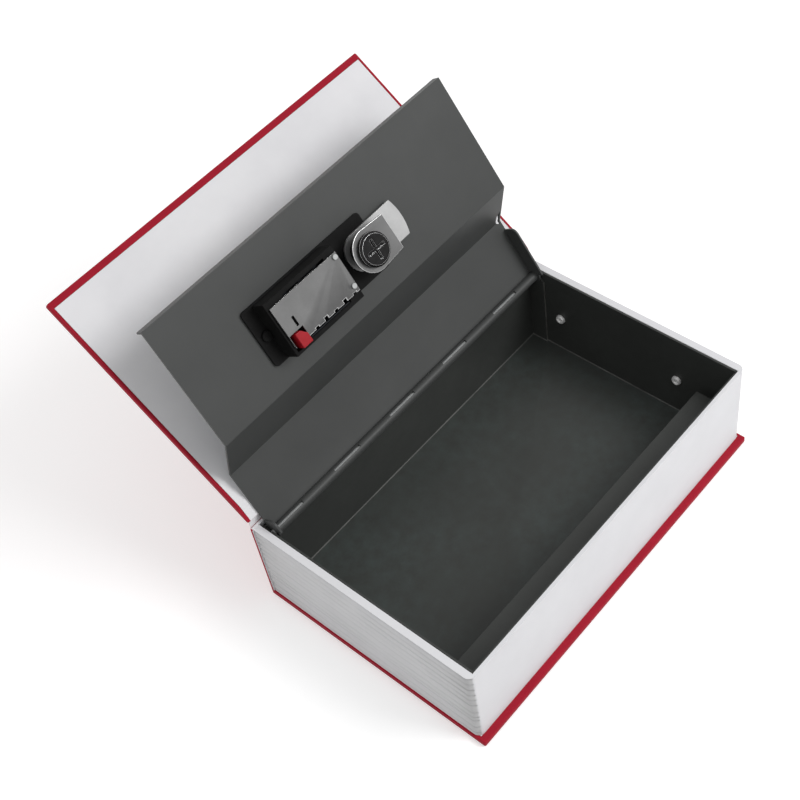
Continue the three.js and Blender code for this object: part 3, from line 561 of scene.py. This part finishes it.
for a, b in zip(grid, grid[1:]):
    for i in range(len(ring) - 1):
        wall.faces.new((a[i], a[i + 1], b[i + 1], b[i]))
for i in range(len(ring) - 1):
    wall.faces.new((grid[-1][i], grid[-1][i + 1], inner_high[i + 1], inner_high[i]))
    wall.faces.new((inner_high[i], inner_high[i + 1], inner_low[i + 1], inner_low[i]))
    wall.faces.new((inner_low[i], inner_low[i + 1], grid[0][i + 1], grid[0][i]))
for i in (0, -1):
    wall.faces.new([line[i] for line in grid] + [inner_high[i], inner_low[i]])
bmesh.ops.remove_doubles(wall, verts=wall.verts, dist=weld_distance / 2)
bmesh.ops.recalc_face_normals(wall, faces=wall.faces)
page_mesh = bpy.data.meshes.new("page_walls")
wall.to_mesh(page_mesh)
wall.free()
page_walls = add_object("page_walls", page_mesh)

page_plastic, page_tree, page_shader, page_place = new_finish("page_plastic", roughness=0.5)
page_tone = place_group(page_tree, drift, page_place, Scale=38,
                        Low=(0.70, 0.70, 0.72, 1), High=(0.74, 0.74, 0.76, 1))
# Painted shade: the ribbed ends get a greyer copy of the white, for the weaker light that falls on them
# and into their fine grooves.
page_end_shade_tone = place_group(page_tree, drift, page_place, Scale=70,
                            Low=(0.50, 0.50, 0.505, 1), High=(0.56, 0.56, 0.565, 1))
page_ribbed, page_groove_shade = [page_tree.nodes.new("ShaderNodeAttribute") for _ in range(2)]
page_ribbed.attribute_name = "ribbed"
page_groove_shade.attribute_name = "groove"
page_sides = mixed(page_tree, page_ribbed.outputs["Fac"], page_tone.outputs["Color"],
                   page_end_shade_tone.outputs["Color"])
# Painted shade: the grooves' share darkens the white towards grey.
page_shade = mixed(page_tree, page_groove_shade.outputs["Fac"], page_sides, (0.34, 0.34, 0.345, 1))
page_tree.links.new(page_shade, page_shader.inputs["Base Color"])
page_skin = place_group(page_tree, drift, page_place, Scale=2200)
relief(page_tree, page_shader, page_skin.outputs["Mask"], strength=0.1, distance=0.02 * mm)


def geometry_tree(name, inputs):
    """A geometry node tree on a mesh, with named inputs."""
    tree = bpy.data.node_groups.new(name, "GeometryNodeTree")
    tree.interface.new_socket("Geometry", in_out="INPUT", socket_type="NodeSocketGeometry")
    tree.interface.new_socket("Geometry", in_out="OUTPUT", socket_type="NodeSocketGeometry")
    for label, kind in inputs:
        tree.interface.new_socket(label, in_out="INPUT", socket_type=kind)
    return tree, tree.nodes.new("NodeGroupInput"), tree.nodes.new("NodeGroupOutput")


def end_tree(tree, geometry, material_socket, output):
    """Every tree ends in real geometry with its finish."""
    real = tree.nodes.new("GeometryNodeRealizeInstances")
    painted = tree.nodes.new("GeometryNodeSetMaterial")
    tree.links.new(geometry, real.inputs[0])
    tree.links.new(real.outputs[0], painted.inputs["Geometry"])
    tree.links.new(material_socket, painted.inputs["Material"])
    tree.links.new(painted.outputs[0], output.inputs["Geometry"])


def final_shape(carrier):
    """An object's evaluated mesh, as a shape that can be worked on. The object goes."""
    bpy.context.view_layer.update()
    made = bpy.data.meshes.new_from_object(
        carrier.evaluated_get(bpy.context.evaluated_depsgraph_get()))
    shape = bmesh.new()
    shape.from_mesh(made)
    bpy.data.objects.remove(carrier)
    bpy.data.meshes.remove(made)
    return shape


def evaluated_shape(carrier, tree, values):
    """The shape that a geometry tree makes of an object."""
    modifier = carrier.modifiers.new("shape", "NODES")
    modifier.node_group = tree
    for item in tree.interface.items_tree:
        if item.in_out == "INPUT" and item.name in values:
            modifier[item.identifier] = values[item.name]
    return final_shape(carrier)


def named_attribute(tree, name, kind):
    """A geometry tree's reading of a named attribute."""
    node = tree.nodes.new("GeometryNodeInputNamedAttribute")
    node.data_type = kind
    node.inputs["Name"].default_value = name
    return node.outputs["Attribute"]


# Ribs: uneven bands along Z press the ends in, and finer leaves run between them
ribs, ribs_in, ribs_out = geometry_tree("page_ribs", [
    ("Rib Depth", "NodeSocketFloat"), ("Rib Pitch", "NodeSocketFloat"),
    ("Leaf Depth", "NodeSocketFloat"), ("Leaf Pitch", "NodeSocketFloat"),
    ("Finish", "NodeSocketMaterial")])
rib_waver = 1.6 * mm
groove_shade = 0.45
end_shift = 0.4
leaf_shift = 3.0
rib_groove = ("Rib Pitch", "Rib Depth", 0.20)
leaf_groove = ("Leaf Pitch", "Leaf Depth", 0.35)
rib_place = ribs.nodes.new("GeometryNodeInputPosition").outputs[0]
rib_split = ribs.nodes.new("ShaderNodeSeparateXYZ")
ribs.links.new(rib_place, rib_split.inputs[0])
waver = math_node(ribs, "SUBTRACT", noise_value(ribs, rib_place, 26), 0.5)
height = math_node(ribs, "ADD", rib_split.outputs["Z"], math_node(ribs, "MULTIPLY", waver, rib_waver))
side_shift = math_node(ribs, "MULTIPLY", math_node(ribs, "SIGN", rib_split.outputs["X"]), end_shift)
grooves = []
for (pitch, depth, width), shift in ((rib_groove, side_shift), (leaf_groove, leaf_shift)):
    cells = ribs.nodes.new("ShaderNodeTexVoronoi")
    cells.voronoi_dimensions = "1D"
    cells.feature = "DISTANCE_TO_EDGE"
    cells.inputs["Scale"].default_value = 1
    cells.inputs["Randomness"].default_value = 0.75
    cell_place = math_node(ribs, "DIVIDE", height, ribs_in.outputs[pitch])
    ribs.links.new(math_node(ribs, "ADD", cell_place, shift), cells.inputs["W"])
    groove = map_range(ribs, cells.outputs["Distance"], smooth=True, From_Max=width, To_Min=1, To_Max=0)
    grooves.append(math_node(ribs, "MULTIPLY", groove, ribs_in.outputs[depth]))
patch = map_range(ribs, noise_value(ribs, rib_place, 48), From_Min=0.38, From_Max=0.62, To_Min=0.3)
depth = math_node(ribs, "MULTIPLY", math_node(ribs, "ADD", *grooves), patch)
ribbed = named_attribute(ribs, "ribbed", "FLOAT")
inset = math_node(ribs, "MULTIPLY", math_node(ribs, "MULTIPLY", depth, ribbed), -1)
offset = ribs.nodes.new("ShaderNodeVectorMath")
offset.operation = "SCALE"
ribs.links.new(named_attribute(ribs, "outward", "FLOAT_VECTOR"), offset.inputs[0])
ribs.links.new(inset, offset.inputs["Scale"])
moved = ribs.nodes.new("GeometryNodeSetPosition")
ribs.links.new(ribs_in.outputs["Geometry"], moved.inputs["Geometry"])
ribs.links.new(offset.outputs[0], moved.inputs["Offset"])
# The share of painted shade in the grooves, taken from their depth, is stored for the page finish.
shaded = ribs.nodes.new("GeometryNodeStoreNamedAttribute")
shaded.data_type = "FLOAT"
shaded.domain = "POINT"
shaded.inputs["Name"].default_value = "groove"
ribs.links.new(moved.outputs[0], shaded.inputs["Geometry"])
groove_painted_shade = math_node(ribs, "MULTIPLY", math_node(ribs, "DIVIDE", depth, ribs_in.outputs["Rib Depth"]),
                   groove_shade)
ribs.links.new(math_node(ribs, "MULTIPLY", groove_painted_shade, ribbed), shaded.inputs["Value"])
end_tree(ribs, shaded.outputs[0], ribs_in.outputs["Finish"], ribs_out)
page_shape = evaluated_shape(page_walls, ribs, {
    "Rib Depth": page_rib_depth, "Rib Pitch": page_rib_pitch, "Leaf Depth": page_leaf_depth,
    "Leaf Pitch": page_leaf_pitch, "Finish": page_plastic})
finish_piece("ribbed_page_block", page_shape, page_plastic, "base",
             ["page_block"], smooth=50)

# Steel tray and latch rail
# Folded sheet with soft folds, painted a dark satin grey. Its folds and sheet edges carry a painted
# highlight, and a greenish mottle on the floor is a painted sheen. The rail is a steel angle inside
# the fore-edge wall.
painted_steel = toned_finish("painted_steel", roughness=0.42, scale=30, low=(0.032, 0.034, 0.032),
                             high=(0.041, 0.044, 0.041), specular=0.35, grain=(900, 0.16, 0.03 * mm))
paint_tree = painted_steel.node_tree
paint_place = paint_tree.nodes["Texture Coordinate"].outputs["Object"]
paint_blotch = place_group(paint_tree, drift, paint_place, Scale=140)
paint_tree.links.new(map_range(paint_tree, paint_blotch.outputs["Mask"], To_Min=0.36, To_Max=0.5),
                     paint_tree.nodes["Principled BSDF"].inputs["Roughness"])
# Painted highlight: the rounded folds are given a lighter grey, as where light catches them.
fold_highlight = toned_finish("painted_fold_highlight", roughness=0.6, scale=60, low=(0.070, 0.072, 0.068),
                          high=(0.145, 0.147, 0.140), specular=0.3)
# Painted highlight: the sheet's cut edges and the tabs' free edges get a light grey, so that they read
# as lit lines.
edge_highlight = toned_finish("painted_sheet_edge_highlight", roughness=0.5, scale=90, low=(0.09, 0.09, 0.085),
                         high=(0.26, 0.26, 0.24), metallic=0.3)

floor_paint_and_sheen, ground_tree, ground_shader, ground_place = new_finish(
    "tray_floor_paint_and_sheen", roughness=0.42)
ground_shader.inputs["Specular IOR Level"].default_value = 0.35
ground_tone = place_group(ground_tree, drift, ground_place, Scale=26,
                          Low=(0.034, 0.036, 0.033, 1), High=(0.042, 0.045, 0.042, 1))
# Painted sheen: a greenish mottle mixed into the floor's paint where two noises overlap.
ground_area = place_group(ground_tree, drift, ground_place, Scale=17).outputs["Mask"]
ground_fleck = place_group(ground_tree, drift, ground_place, Scale=190).outputs["Mask"]
floor_painted_sheen = mixed(ground_tree, math_node(ground_tree, "MULTIPLY", ground_area, ground_fleck),
                      ground_tone.outputs["Color"], (0.054, 0.067, 0.063, 1))
ground_tree.links.new(floor_painted_sheen, ground_shader.inputs["Base Color"])
relief(ground_tree, ground_shader, ground_fleck, strength=0.3, distance=0.06 * mm)

tray = merged_copy("steel_tray")
tray_low, tray_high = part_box("steel_tray")
sheet_edge = 0.16 * mm
fold_radius = 1.0 * mm
tray_sheet = 0.8 * mm
floor_top = tray_low.z + tray_sheet
on_plane = 0.05 * mm
floor_facing = 0.99
fold_zone = (0.5 * mm, 1.2 * mm)
tab_start = 30 * mm
tab_zone = 2 * mm
wall_middle = 0.4 * mm
rim_half = 0.38 * mm
rim_rise = 0.82 * mm
rim_overlap = 0.3 * mm
rim_short = 5 * mm


def slab(shape, low, high):
    """A thin box between two corners, added to a shape."""
    made = bmesh.ops.create_cube(shape, size=1)["verts"]
    size = Vector(high) - Vector(low)
    middle = (Vector(high) + Vector(low)) / 2
    for vertex in made:
        vertex.co = Vector(a * b for a, b in zip(vertex.co, size)) + middle


def tray_fold(middle, direction):
    """The folds round the floor, and the upright ones at the fore-edge."""
    at_floor = abs(middle.z - floor_top) < on_plane
    fore_fold = fold_zone[0] < middle.y - tray_low.y < fold_zone[1]
    return at_floor and abs(direction.z) < 1 - facing or fore_fold and abs(direction.z) > facing


# The rounded folds take finish 1, the painted fold highlight.
round_off(tray, edges_where(tray, tray_fold), fold_radius, finish=1)
tray.normal_update()
for face in tray.faces:
    middle = face.calc_center_median()
    if face.normal.z > floor_facing and abs(middle.z - floor_top) < on_plane:
        face.material_index = 3
    # The corner tabs' free edges take the painted edge highlight.
    elif face.normal.y < -facing and middle.y > tab_start and abs(middle.x) > tray_high.x - tab_zone:
        face.material_index = 2
for side in (-1, 1):
    middle = side * (tray_high.x - wall_middle)
    slab(tray, (middle - rim_half, tray_low.y + rim_overlap, tray_high.z - rim_overlap),
         (middle + rim_half, tray_high.y - rim_short, tray_high.z + rim_rise))
finish_piece("folded_tray", tray, [painted_steel, fold_highlight, edge_highlight, floor_paint_and_sheen], "base",
             ["steel_tray"], edge=sheet_edge, edge_finish=2)

rail = merged_copy("latch_rail")
rail_low, rail_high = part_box("latch_rail")
round_off(rail, edges_where(rail, lambda middle, direction: abs(direction.x) > facing
                            and abs(middle.y - rail_low.y) < on_plane
                            and abs(middle.z - rail_high.z) < on_plane), fold_radius)
finish_piece("latch_angle", rail, painted_steel, "base", ["latch_rail"],
             edge=sheet_edge)

# Rivets
# Four bright domed rivets hold the tray's end walls to the page block. They are one turned
# shape, set at each place with its head to the inside.
rivet_radius = 2.3 * mm
rivet_dome = 1.3 * mm
rivet_shank = 1.2 * mm
rivet_length = 2.2 * mm
rivet_nodes = ["tail_rivet_1", "tail_rivet_2", "head_rivet_1", "head_rivet_2"]


def turned(profile, steps):
    """A closed shape turned about Z from (radius, height) points that start and end on the axis."""
    shape = bmesh.new()
    rings = []
    for radius, height in profile:
        if radius == 0:
            rings.append([shape.verts.new((0, 0, height))] * steps)
        else:
            rings.append([shape.verts.new((radius * cos(2 * pi * i / steps),
                                           radius * sin(2 * pi * i / steps), height))
                          for i in range(steps)])
    for a, b in zip(rings, rings[1:]):
        for i in range(steps):
            corners = dict.fromkeys((a[i], a[(i + 1) % steps], b[(i + 1) % steps], b[i]))
            if len(corners) > 2:
                shape.faces.new(list(corners))
    bmesh.ops.recalc_face_normals(shape, faces=shape.faces)
    return shape


def curve_arc(centre, radius, start, end, steps):
    """Places on an arc as (radius, height) points, for turned profiles."""
    return [(centre[0] + radius[0] * cos(radians(start + (end - start) * i / steps)),
             centre[1] + radius[1] * sin(radians(start + (end - start) * i / steps)))
            for i in range(steps + 1)]


rivet_dimple = 1.15 * mm
rivet_floor = 0.5 * rivet_dome
rivet_profile = [(0, 0.9 * rivet_floor), (0.7 * rivet_dimple, rivet_floor)]
rivet_profile += curve_arc((0.5 * (rivet_dimple + rivet_radius), 0),
                           (0.5 * (rivet_radius - rivet_dimple), rivet_dome), start=150, end=10,
                           steps=9)
rivet_profile += [(rivet_radius * 0.99, 0), (rivet_shank, 0), (rivet_shank, -rivet_length),
                  (0, -rivet_length)]
rivet_mesh = bpy.data.meshes.new("rivet")
one_rivet = turned(rivet_profile, steps=40)
one_rivet.to_mesh(rivet_mesh)
one_rivet.free()
rivet_object = add_object("rivet", rivet_mesh)

nickel = toned_finish("nickel_plate", roughness=0.4, scale=700, low=(0.76, 0.76, 0.76),
                      high=(0.86, 0.86, 0.85), metallic=0.2)

rivet_points = bpy.data.meshes.new("rivet_places")
rivet_places = []
for node in rivet_nodes:
    low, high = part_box(node)
    head = high.x - rivet_dome if node.startswith("tail") else low.x + rivet_dome
    rivet_places.append((head, (low.y + high.y) / 2, (low.z + high.z) / 2))
rivet_points.from_pydata(rivet_places, [], [])
rivet_carrier = add_object("rivet_places", rivet_points)

rivet_tree, rivets_in, rivets_out = geometry_tree("rivets", [
    ("Rivet", "NodeSocketObject"), ("Finish", "NodeSocketMaterial")])
rivet_info = rivet_tree.nodes.new("GeometryNodeObjectInfo")
rivet_tree.links.new(rivets_in.outputs["Rivet"], rivet_info.inputs["Object"])
rivet_place = rivet_tree.nodes.new("GeometryNodeInputPosition").outputs[0]
rivet_split = rivet_tree.nodes.new("ShaderNodeSeparateXYZ")
rivet_tree.links.new(rivet_place, rivet_split.inputs[0])
rivet_side = math_node(rivet_tree, "SIGN", rivet_split.outputs["X"])
rivet_lean = math_node(rivet_tree, "MULTIPLY", rivet_side, -pi / 2)
rivet_turn = rivet_tree.nodes.new("ShaderNodeCombineXYZ")
rivet_tree.links.new(rivet_lean, rivet_turn.inputs["Y"])
rivet_set = rivet_tree.nodes.new("GeometryNodeInstanceOnPoints")
rivet_tree.links.new(rivets_in.outputs["Geometry"], rivet_set.inputs["Points"])
rivet_tree.links.new(rivet_info.outputs["Geometry"], rivet_set.inputs["Instance"])
rivet_tree.links.new(rivet_turn.outputs[0], rivet_set.inputs["Rotation"])
end_tree(rivet_tree, rivet_set.outputs[0], rivets_in.outputs["Finish"], rivets_out)
rivets = evaluated_shape(rivet_carrier, rivet_tree, {"Rivet": rivet_object, "Finish": nickel})
bpy.data.objects.remove(rivet_object)
finish_piece("tray_rivets", rivets, nickel, "base", rivet_nodes)

# Hinge rod
# A plain steel rod, cut to length, its ends eased. It is pushed through both end walls of the
# tray and through the lid's rolled edge, which turns on it.
rod_low, rod_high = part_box("hinge_rod")
rod_radius = (rod_high.z - rod_low.z) / 2
rod_round = 0.25 * mm
rod = turned([(0, rod_low.x), (rod_radius - rod_round, rod_low.x), (rod_radius, rod_low.x + rod_round),
              (rod_radius, rod_high.x - rod_round), (rod_radius - rod_round, rod_high.x),
              (0, rod_high.x)], steps=48)
rod.transform(Matrix.Translation((0, (rod_low.y + rod_high.y) / 2, (rod_low.z + rod_high.z) / 2))
              @ Matrix.Rotation(pi / 2, 4, "Y"))
rod_steel = toned_finish("rod_steel", roughness=0.5, scale=500, low=(0.34, 0.35, 0.35),
                         high=(0.42, 0.43, 0.43), metallic=0.3)
finish_piece("lid_rod", rod, rod_steel, "base", ["hinge_rod"])

# Lid
# One folded sheet: rolled edge, strip, sloped step, panel and lip. Its inside has the tray's
# satin paint, and its outside a wrinkled hammertone finish in a lighter grey.
lid_closed = closing("lid_hinge")
lid_open = lid_closed.inverted()
hammertone, hammer_tree, hammer_shader, hammer_place = new_finish(
    "hammertone", roughness=0.34, metallic=0.25)
hammer_cells = hammer_tree.nodes.new("ShaderNodeTexVoronoi")
hammer_cells.feature = "SMOOTH_F1"
hammer_cells.inputs["Scale"].default_value = 560
hammer_cells.inputs["Smoothness"].default_value = 0.6
hammer_warp = place_group(hammer_tree, drift, hammer_place, Scale=300)
hammer_shift = 1.6 * mm
hammer_mix = hammer_tree.nodes.new("ShaderNodeVectorMath")
hammer_mix.operation = "MULTIPLY_ADD"
hammer_mix.inputs[1].default_value = (hammer_shift,) * 3
hammer_tree.links.new(hammer_warp.outputs["Color"], hammer_mix.inputs[0])
hammer_tree.links.new(hammer_place, hammer_mix.inputs[2])
hammer_tree.links.new(hammer_mix.outputs[0], hammer_cells.inputs["Vector"])
hammer_tone = mixed(hammer_tree, hammer_cells.outputs["Distance"], (0.105, 0.115, 0.116, 1),
                    (0.300, 0.325, 0.328, 1))
hammer_tree.links.new(hammer_tone, hammer_shader.inputs["Base Color"])
relief(hammer_tree, hammer_shader, hammer_cells.outputs["Distance"], strength=0.8,
       distance=0.35 * mm)

inside_paint = toned_finish("lid_inside_paint", roughness=0.45, scale=26, low=(0.049, 0.051, 0.050),
                            high=(0.059, 0.061, 0.060), specular=0.25, grain=(800, 0.12, 0.03 * mm))

lid = merged_copy("lid")
lid.transform(lid_closed)
lid_fold_radius = 1.0 * mm
step_start = 2 * mm
step_end = 21 * mm
step_floor = 30 * mm
outer_facing = 0.35


def lid_fold(middle, direction):
    """The two bends of the step: long edges between the strip, the slope and the panel."""
    return abs(direction.x) > facing and step_start < middle.y < step_end and middle.z > step_floor


round_off(lid, edges_where(lid, lid_fold), lid_fold_radius)
lid.normal_update()
for face in lid.faces:
    face.material_index = 1 if face.normal.z > outer_facing else 0
lid.transform(lid_open)
finish_piece("folded_lid", lid, [inside_paint, hammertone], "lid", ["lid"],
             edge=sheet_edge)

# Bezel and knob
# A black moulded bezel on the lid's outside, with a pale gold border let into it, three dial
# windows, and a low dished knob over the spindle.
black_plastic = toned_finish("black_plastic", roughness=0.45, scale=200, low=(0.005,) * 3,
                             high=(0.009,) * 3, specular=0.06, grain=(2600, 0.18, 0.02 * mm))
gold_foil = toned_finish("gold_foil", roughness=0.35, scale=300, low=(0.62, 0.57, 0.27),
                         high=(0.74, 0.70, 0.38), metallic=0.3)
bezel_finish = toned_finish("bezel_plastic", roughness=0.38, scale=120, low=(0.052, 0.052, 0.051),
                            high=(0.066, 0.066, 0.065), specular=0.25, grain=(2400, 0.2, 0.02 * mm))
cad_piece("moulded_bezel", "lock_bezel", bezel_finish, "lid", 0.22 * mm)
cad_piece("gold_border", "bezel_border", gold_foil, "lid", 0.08 * mm)

knob_axis = lid_closed @ Vector(joints["knob_turn"]["pos_m"])
knob_shape = merged_copy("knob")
knob_shape.transform(lid_closed)
knob_low, knob_high = shape_box(knob_shape)
knob_bottom = knob_low.z
knob_top = knob_high.z
knob_radius = knob_high.x - knob_axis.x
knob_shape.free()
knob_round = 1.2 * mm
knob_foot = 0.4 * mm
knob_dish = 8.1 * mm
knob_dish_depth = 0.7 * mm
knob_socket = 4.1 * mm
knob_socket_depth = 3.0 * mm
knob_profile = [(0, knob_bottom + knob_socket_depth), (knob_socket, knob_bottom + knob_socket_depth),
                (knob_socket, knob_bottom), (knob_radius - knob_foot, knob_bottom),
                (knob_radius, knob_bottom + knob_foot)]
knob_profile += curve_arc((knob_radius - knob_round, knob_top - knob_round),
                          (knob_round, knob_round), start=0, end=90, steps=8)
knob_profile += curve_arc((knob_dish, knob_top - knob_dish_depth),
                          (knob_dish_depth, knob_dish_depth), start=90, end=180, steps=6)
knob_profile += [(knob_dish * 0.5, knob_top - knob_dish_depth), (0, knob_top - knob_dish_depth)]
knob = turned(knob_profile, steps=96)
knob.transform(lid_open @ Matrix.Translation((knob_axis.x, knob_axis.y, 0)))
finish_piece("turning_knob", knob, bezel_finish, "latch", ["knob"])

# Dials and figures
# Three black moulded wheels of ten steps, with white figures printed round their rims. They turn
# on a steel axle, and a blued leaf spring with a finger for each holds them on their steps. The spring
# and the gate bar are kept near black, partly a painted shade for the gap beside the plate.
figure_lift = 0.02 * mm
figure_height = 3.5 * mm
figure_strip = 0.25 * mm
figure_share = 0.72
figure_step = radians(36)
dial_axis = lid_closed @ Vector(joints["dial_1_turn"]["pos_m"])
figure_white = toned_finish("figure_white", roughness=0.45, scale=900, low=(0.72, 0.72, 0.70),
                            high=(0.84, 0.84, 0.82))


def figure_shape(text):
    """A plain figure, centred, in XY with its height along X, cut into strips that can bend."""
    curve = bpy.data.curves.new("figure", "FONT")
    curve.body = text
    curve.size = figure_height / figure_share
    curve.align_x = "CENTER"
    curve.align_y = "CENTER"
    shape = final_shape(add_object("figure", curve))
    bmesh.ops.remove_doubles(shape, verts=shape.verts, dist=weld_distance)
    shape.transform(Matrix.Rotation(-pi / 2, 4, "Z"))
    strips = round(figure_height / figure_strip / 2)
    for strip in range(-strips, strips + 1):
        bmesh.ops.bisect_plane(shape, geom=shape.verts[:] + shape.edges[:] + shape.faces[:],
                               plane_co=(0, strip * figure_strip, 0), plane_no=(0, 1, 0))
    return shape


for number in (1, 2, 3):
    node = f"dial_{number}"
    body = "dial_" + "abc"[number - 1]
    wheel = merged_copy(node)
    wheel.transform(lid_closed)
    wheel_low, wheel_high = shape_box(wheel)
    wheel.transform(lid_open)
    finish_piece(f"ten_step_dial_{number}", wheel, black_plastic, body, [node],
                 edge=0.12 * mm)
    dial_radius = wheel_high.z - dial_axis.z
    figure_radius = dial_radius + figure_lift
    middle_x = (wheel_low.x + wheel_high.x) / 2
    figures = bmesh.new()
    for figure in range(10):
        one = figure_shape(str(figure))
        mesh = bpy.data.meshes.new("figure")
        one.to_mesh(mesh)
        one.free()
        for vertex in mesh.vertices:
            angle = vertex.co.y / dial_radius + figure_step * figure
            vertex.co = (middle_x + vertex.co.x, dial_axis.y + figure_radius * sin(angle),
                         dial_axis.z + figure_radius * cos(angle))
        figures.from_mesh(mesh)
        bpy.data.meshes.remove(mesh)
    figures.normal_update()
    figures.transform(lid_open)
    finish_piece(f"dial_figures_{number}", figures, figure_white, body)

bright_steel = toned_finish("bright_steel", roughness=0.28, scale=700, low=(0.52,) * 3,
                            high=(0.68, 0.68, 0.67), metallic=1.0, grain=(700, 0.06, 0.02 * mm))
# Blued steel, kept near black so that the spring and the gate bar read as the shade in the gap by the
# plate: partly painted shade.
blued_steel_dark_as_shade = toned_finish("blued_steel_dark_as_shade", roughness=0.45, scale=300, low=(0.006, 0.007, 0.010),
                           high=(0.014, 0.016, 0.020), metallic=0.5)
for node, material, slot, edge in (
        ("dial_axle", bright_steel, "bright_steel", 0.15 * mm),
        ("detent_spring", blued_steel_dark_as_shade, "bright_steel", 0.06 * mm),
        ("clamp_screw_1", black_plastic, "painted_steel", 0.18 * mm),
        ("clamp_screw_2", black_plastic, "painted_steel", 0.18 * mm),
        ("plate_stud_1", rod_steel, "bright_steel", 0.15 * mm),
        ("plate_stud_2", rod_steel, "bright_steel", 0.15 * mm)):
    cad_piece(node + "_steel", node, material, "lid", edge)
cad_piece("gate_bar_steel", "gate_bar", blued_steel_dark_as_shade, "gate", 0.1 * mm)

# Lock seen from inside
# A black moulded housing, closed by a zinc-plated plate with notches along one edge, their rounded
# teeth given a painted glint, and the red lever that sets the combination.
notch_depth = 1.5 * mm
plate_skin = 0.1 * mm
notch_round = 0.35 * mm
plated_steel = toned_finish("plated_steel", roughness=0.45, scale=90, low=(0.115,) * 3,
                            high=(0.145,) * 3, metallic=1.0, grain=(1900, 0.1, 0.02 * mm))
cad_piece("moulded_housing", "lock_housing", black_plastic, "lid", 0.3 * mm)
# Painted glint: bevelled edges take a bright steel colour, standing in for glints of light on them.
edge_glint = toned_finish("painted_edge_glint", roughness=0.3, scale=600, low=(0.45,) * 3,
                        high=(0.75,) * 3, metallic=1.0)
plate = merged_copy("mechanism_plate")
plate.transform(lid_closed)
plate_low, plate_high = shape_box(plate)
# The notched teeth are rounded and take finish 1, the painted glint.
round_off(plate, edges_where(plate, lambda middle, direction: middle.y > plate_high.y - notch_depth
                             and middle.z < plate_low.z + plate_skin), notch_round,
          segments=2, finish=1)
plate.transform(lid_open)
finish_piece("notched_plate", plate, [plated_steel, edge_glint], "lid",
             ["mechanism_plate"], edge=0.12 * mm, edge_finish=1)

red_plastic = toned_finish("red_plastic", roughness=0.35, scale=250, low=(0.30, 0.007, 0.013),
                           high=(0.36, 0.009, 0.017), specular=0.25)
cad_piece("red_lever", "reset_lever", red_plastic, "reset", 0.3 * mm)

# Spindle, tongue, cam plate, screw
# The knob's spindle carries a bright steel tongue against the lid, a D-shaped plate and a
# large black screw with a cross recess, their edges given a painted glint. All turn together with the
# knob.
tongue_steel = toned_finish("tongue_steel", roughness=0.5, scale=110, low=(0.29,) * 3,
                            high=(0.35,) * 3, metallic=1.0)
cad_piece("steel_tongue", "cam_tongue", [tongue_steel, edge_glint], "latch",
          0.2 * mm, edge_finish=1)
cad_piece("d_plate", "cam_plate", [plated_steel, edge_glint], "latch", 0.22 * mm,
          edge_finish=1)
screw_black = toned_finish("blackened_screw", roughness=0.25, scale=500, low=(0.006,) * 3,
                           high=(0.014,) * 3, specular=0.15, grain=(500, 0.25, 0.1 * mm))
cad_piece("cross_screw", "cam_screw", [screw_black, edge_glint], "latch", 0.1 * mm,
          edge_finish=1)
cad_piece("knob_spindle", "spindle", black_plastic, "latch", 0.2 * mm)

# Foil lines
# Double lines stamped in pale foil: a frame on the front cover and two bands across the spine.
# The foil lies on the cloth, is thin, and lets the weave show.
foil = toned_finish("stamped_foil", roughness=0.38, scale=1500, low=(0.48, 0.22, 0.20),
                    high=(0.80, 0.58, 0.52), metallic=0.7)
foil_thickness = 0.04 * mm
foil_line = 0.45 * mm
foil_gap = 1.5 * mm
frame_x = (14.8 * mm, 51.2 * mm)
frame_y = (-28.6 * mm, 29.2 * mm)
band_x = (67.9 * mm, 40.6 * mm)
band_z = (9.8 * mm, 41.2 * mm)

top = cover_high.z
foil_frame = bmesh.new()
for inset in (0, foil_gap):
    x0, x1 = frame_x[0] + inset, frame_x[1] - inset
    y0, y1 = frame_y[0] + inset, frame_y[1] - inset
    for a, b in (((x0, y0), (x1, y0 + foil_line)), ((x0, y1 - foil_line), (x1, y1)),
                 ((x0, y0 + foil_line), (x0 + foil_line, y1 - foil_line)),
                 ((x1 - foil_line, y0 + foil_line), (x1, y1 - foil_line))):
        slab(foil_frame, (*a, top), (*b, top + foil_thickness))
foil_frame.transform(cover_open)
finish_piece("cover_foil_frame", foil_frame, foil, "front_cover")
foil_bands = bmesh.new()
for x in band_x:
    for inset in (0, foil_gap):
        slab(foil_bands, (x - inset - foil_line, case_high.y, band_z[0]),
             (x - inset, case_high.y + foil_thickness, band_z[1]))
finish_piece("spine_foil_bands", foil_bands, foil, "base")
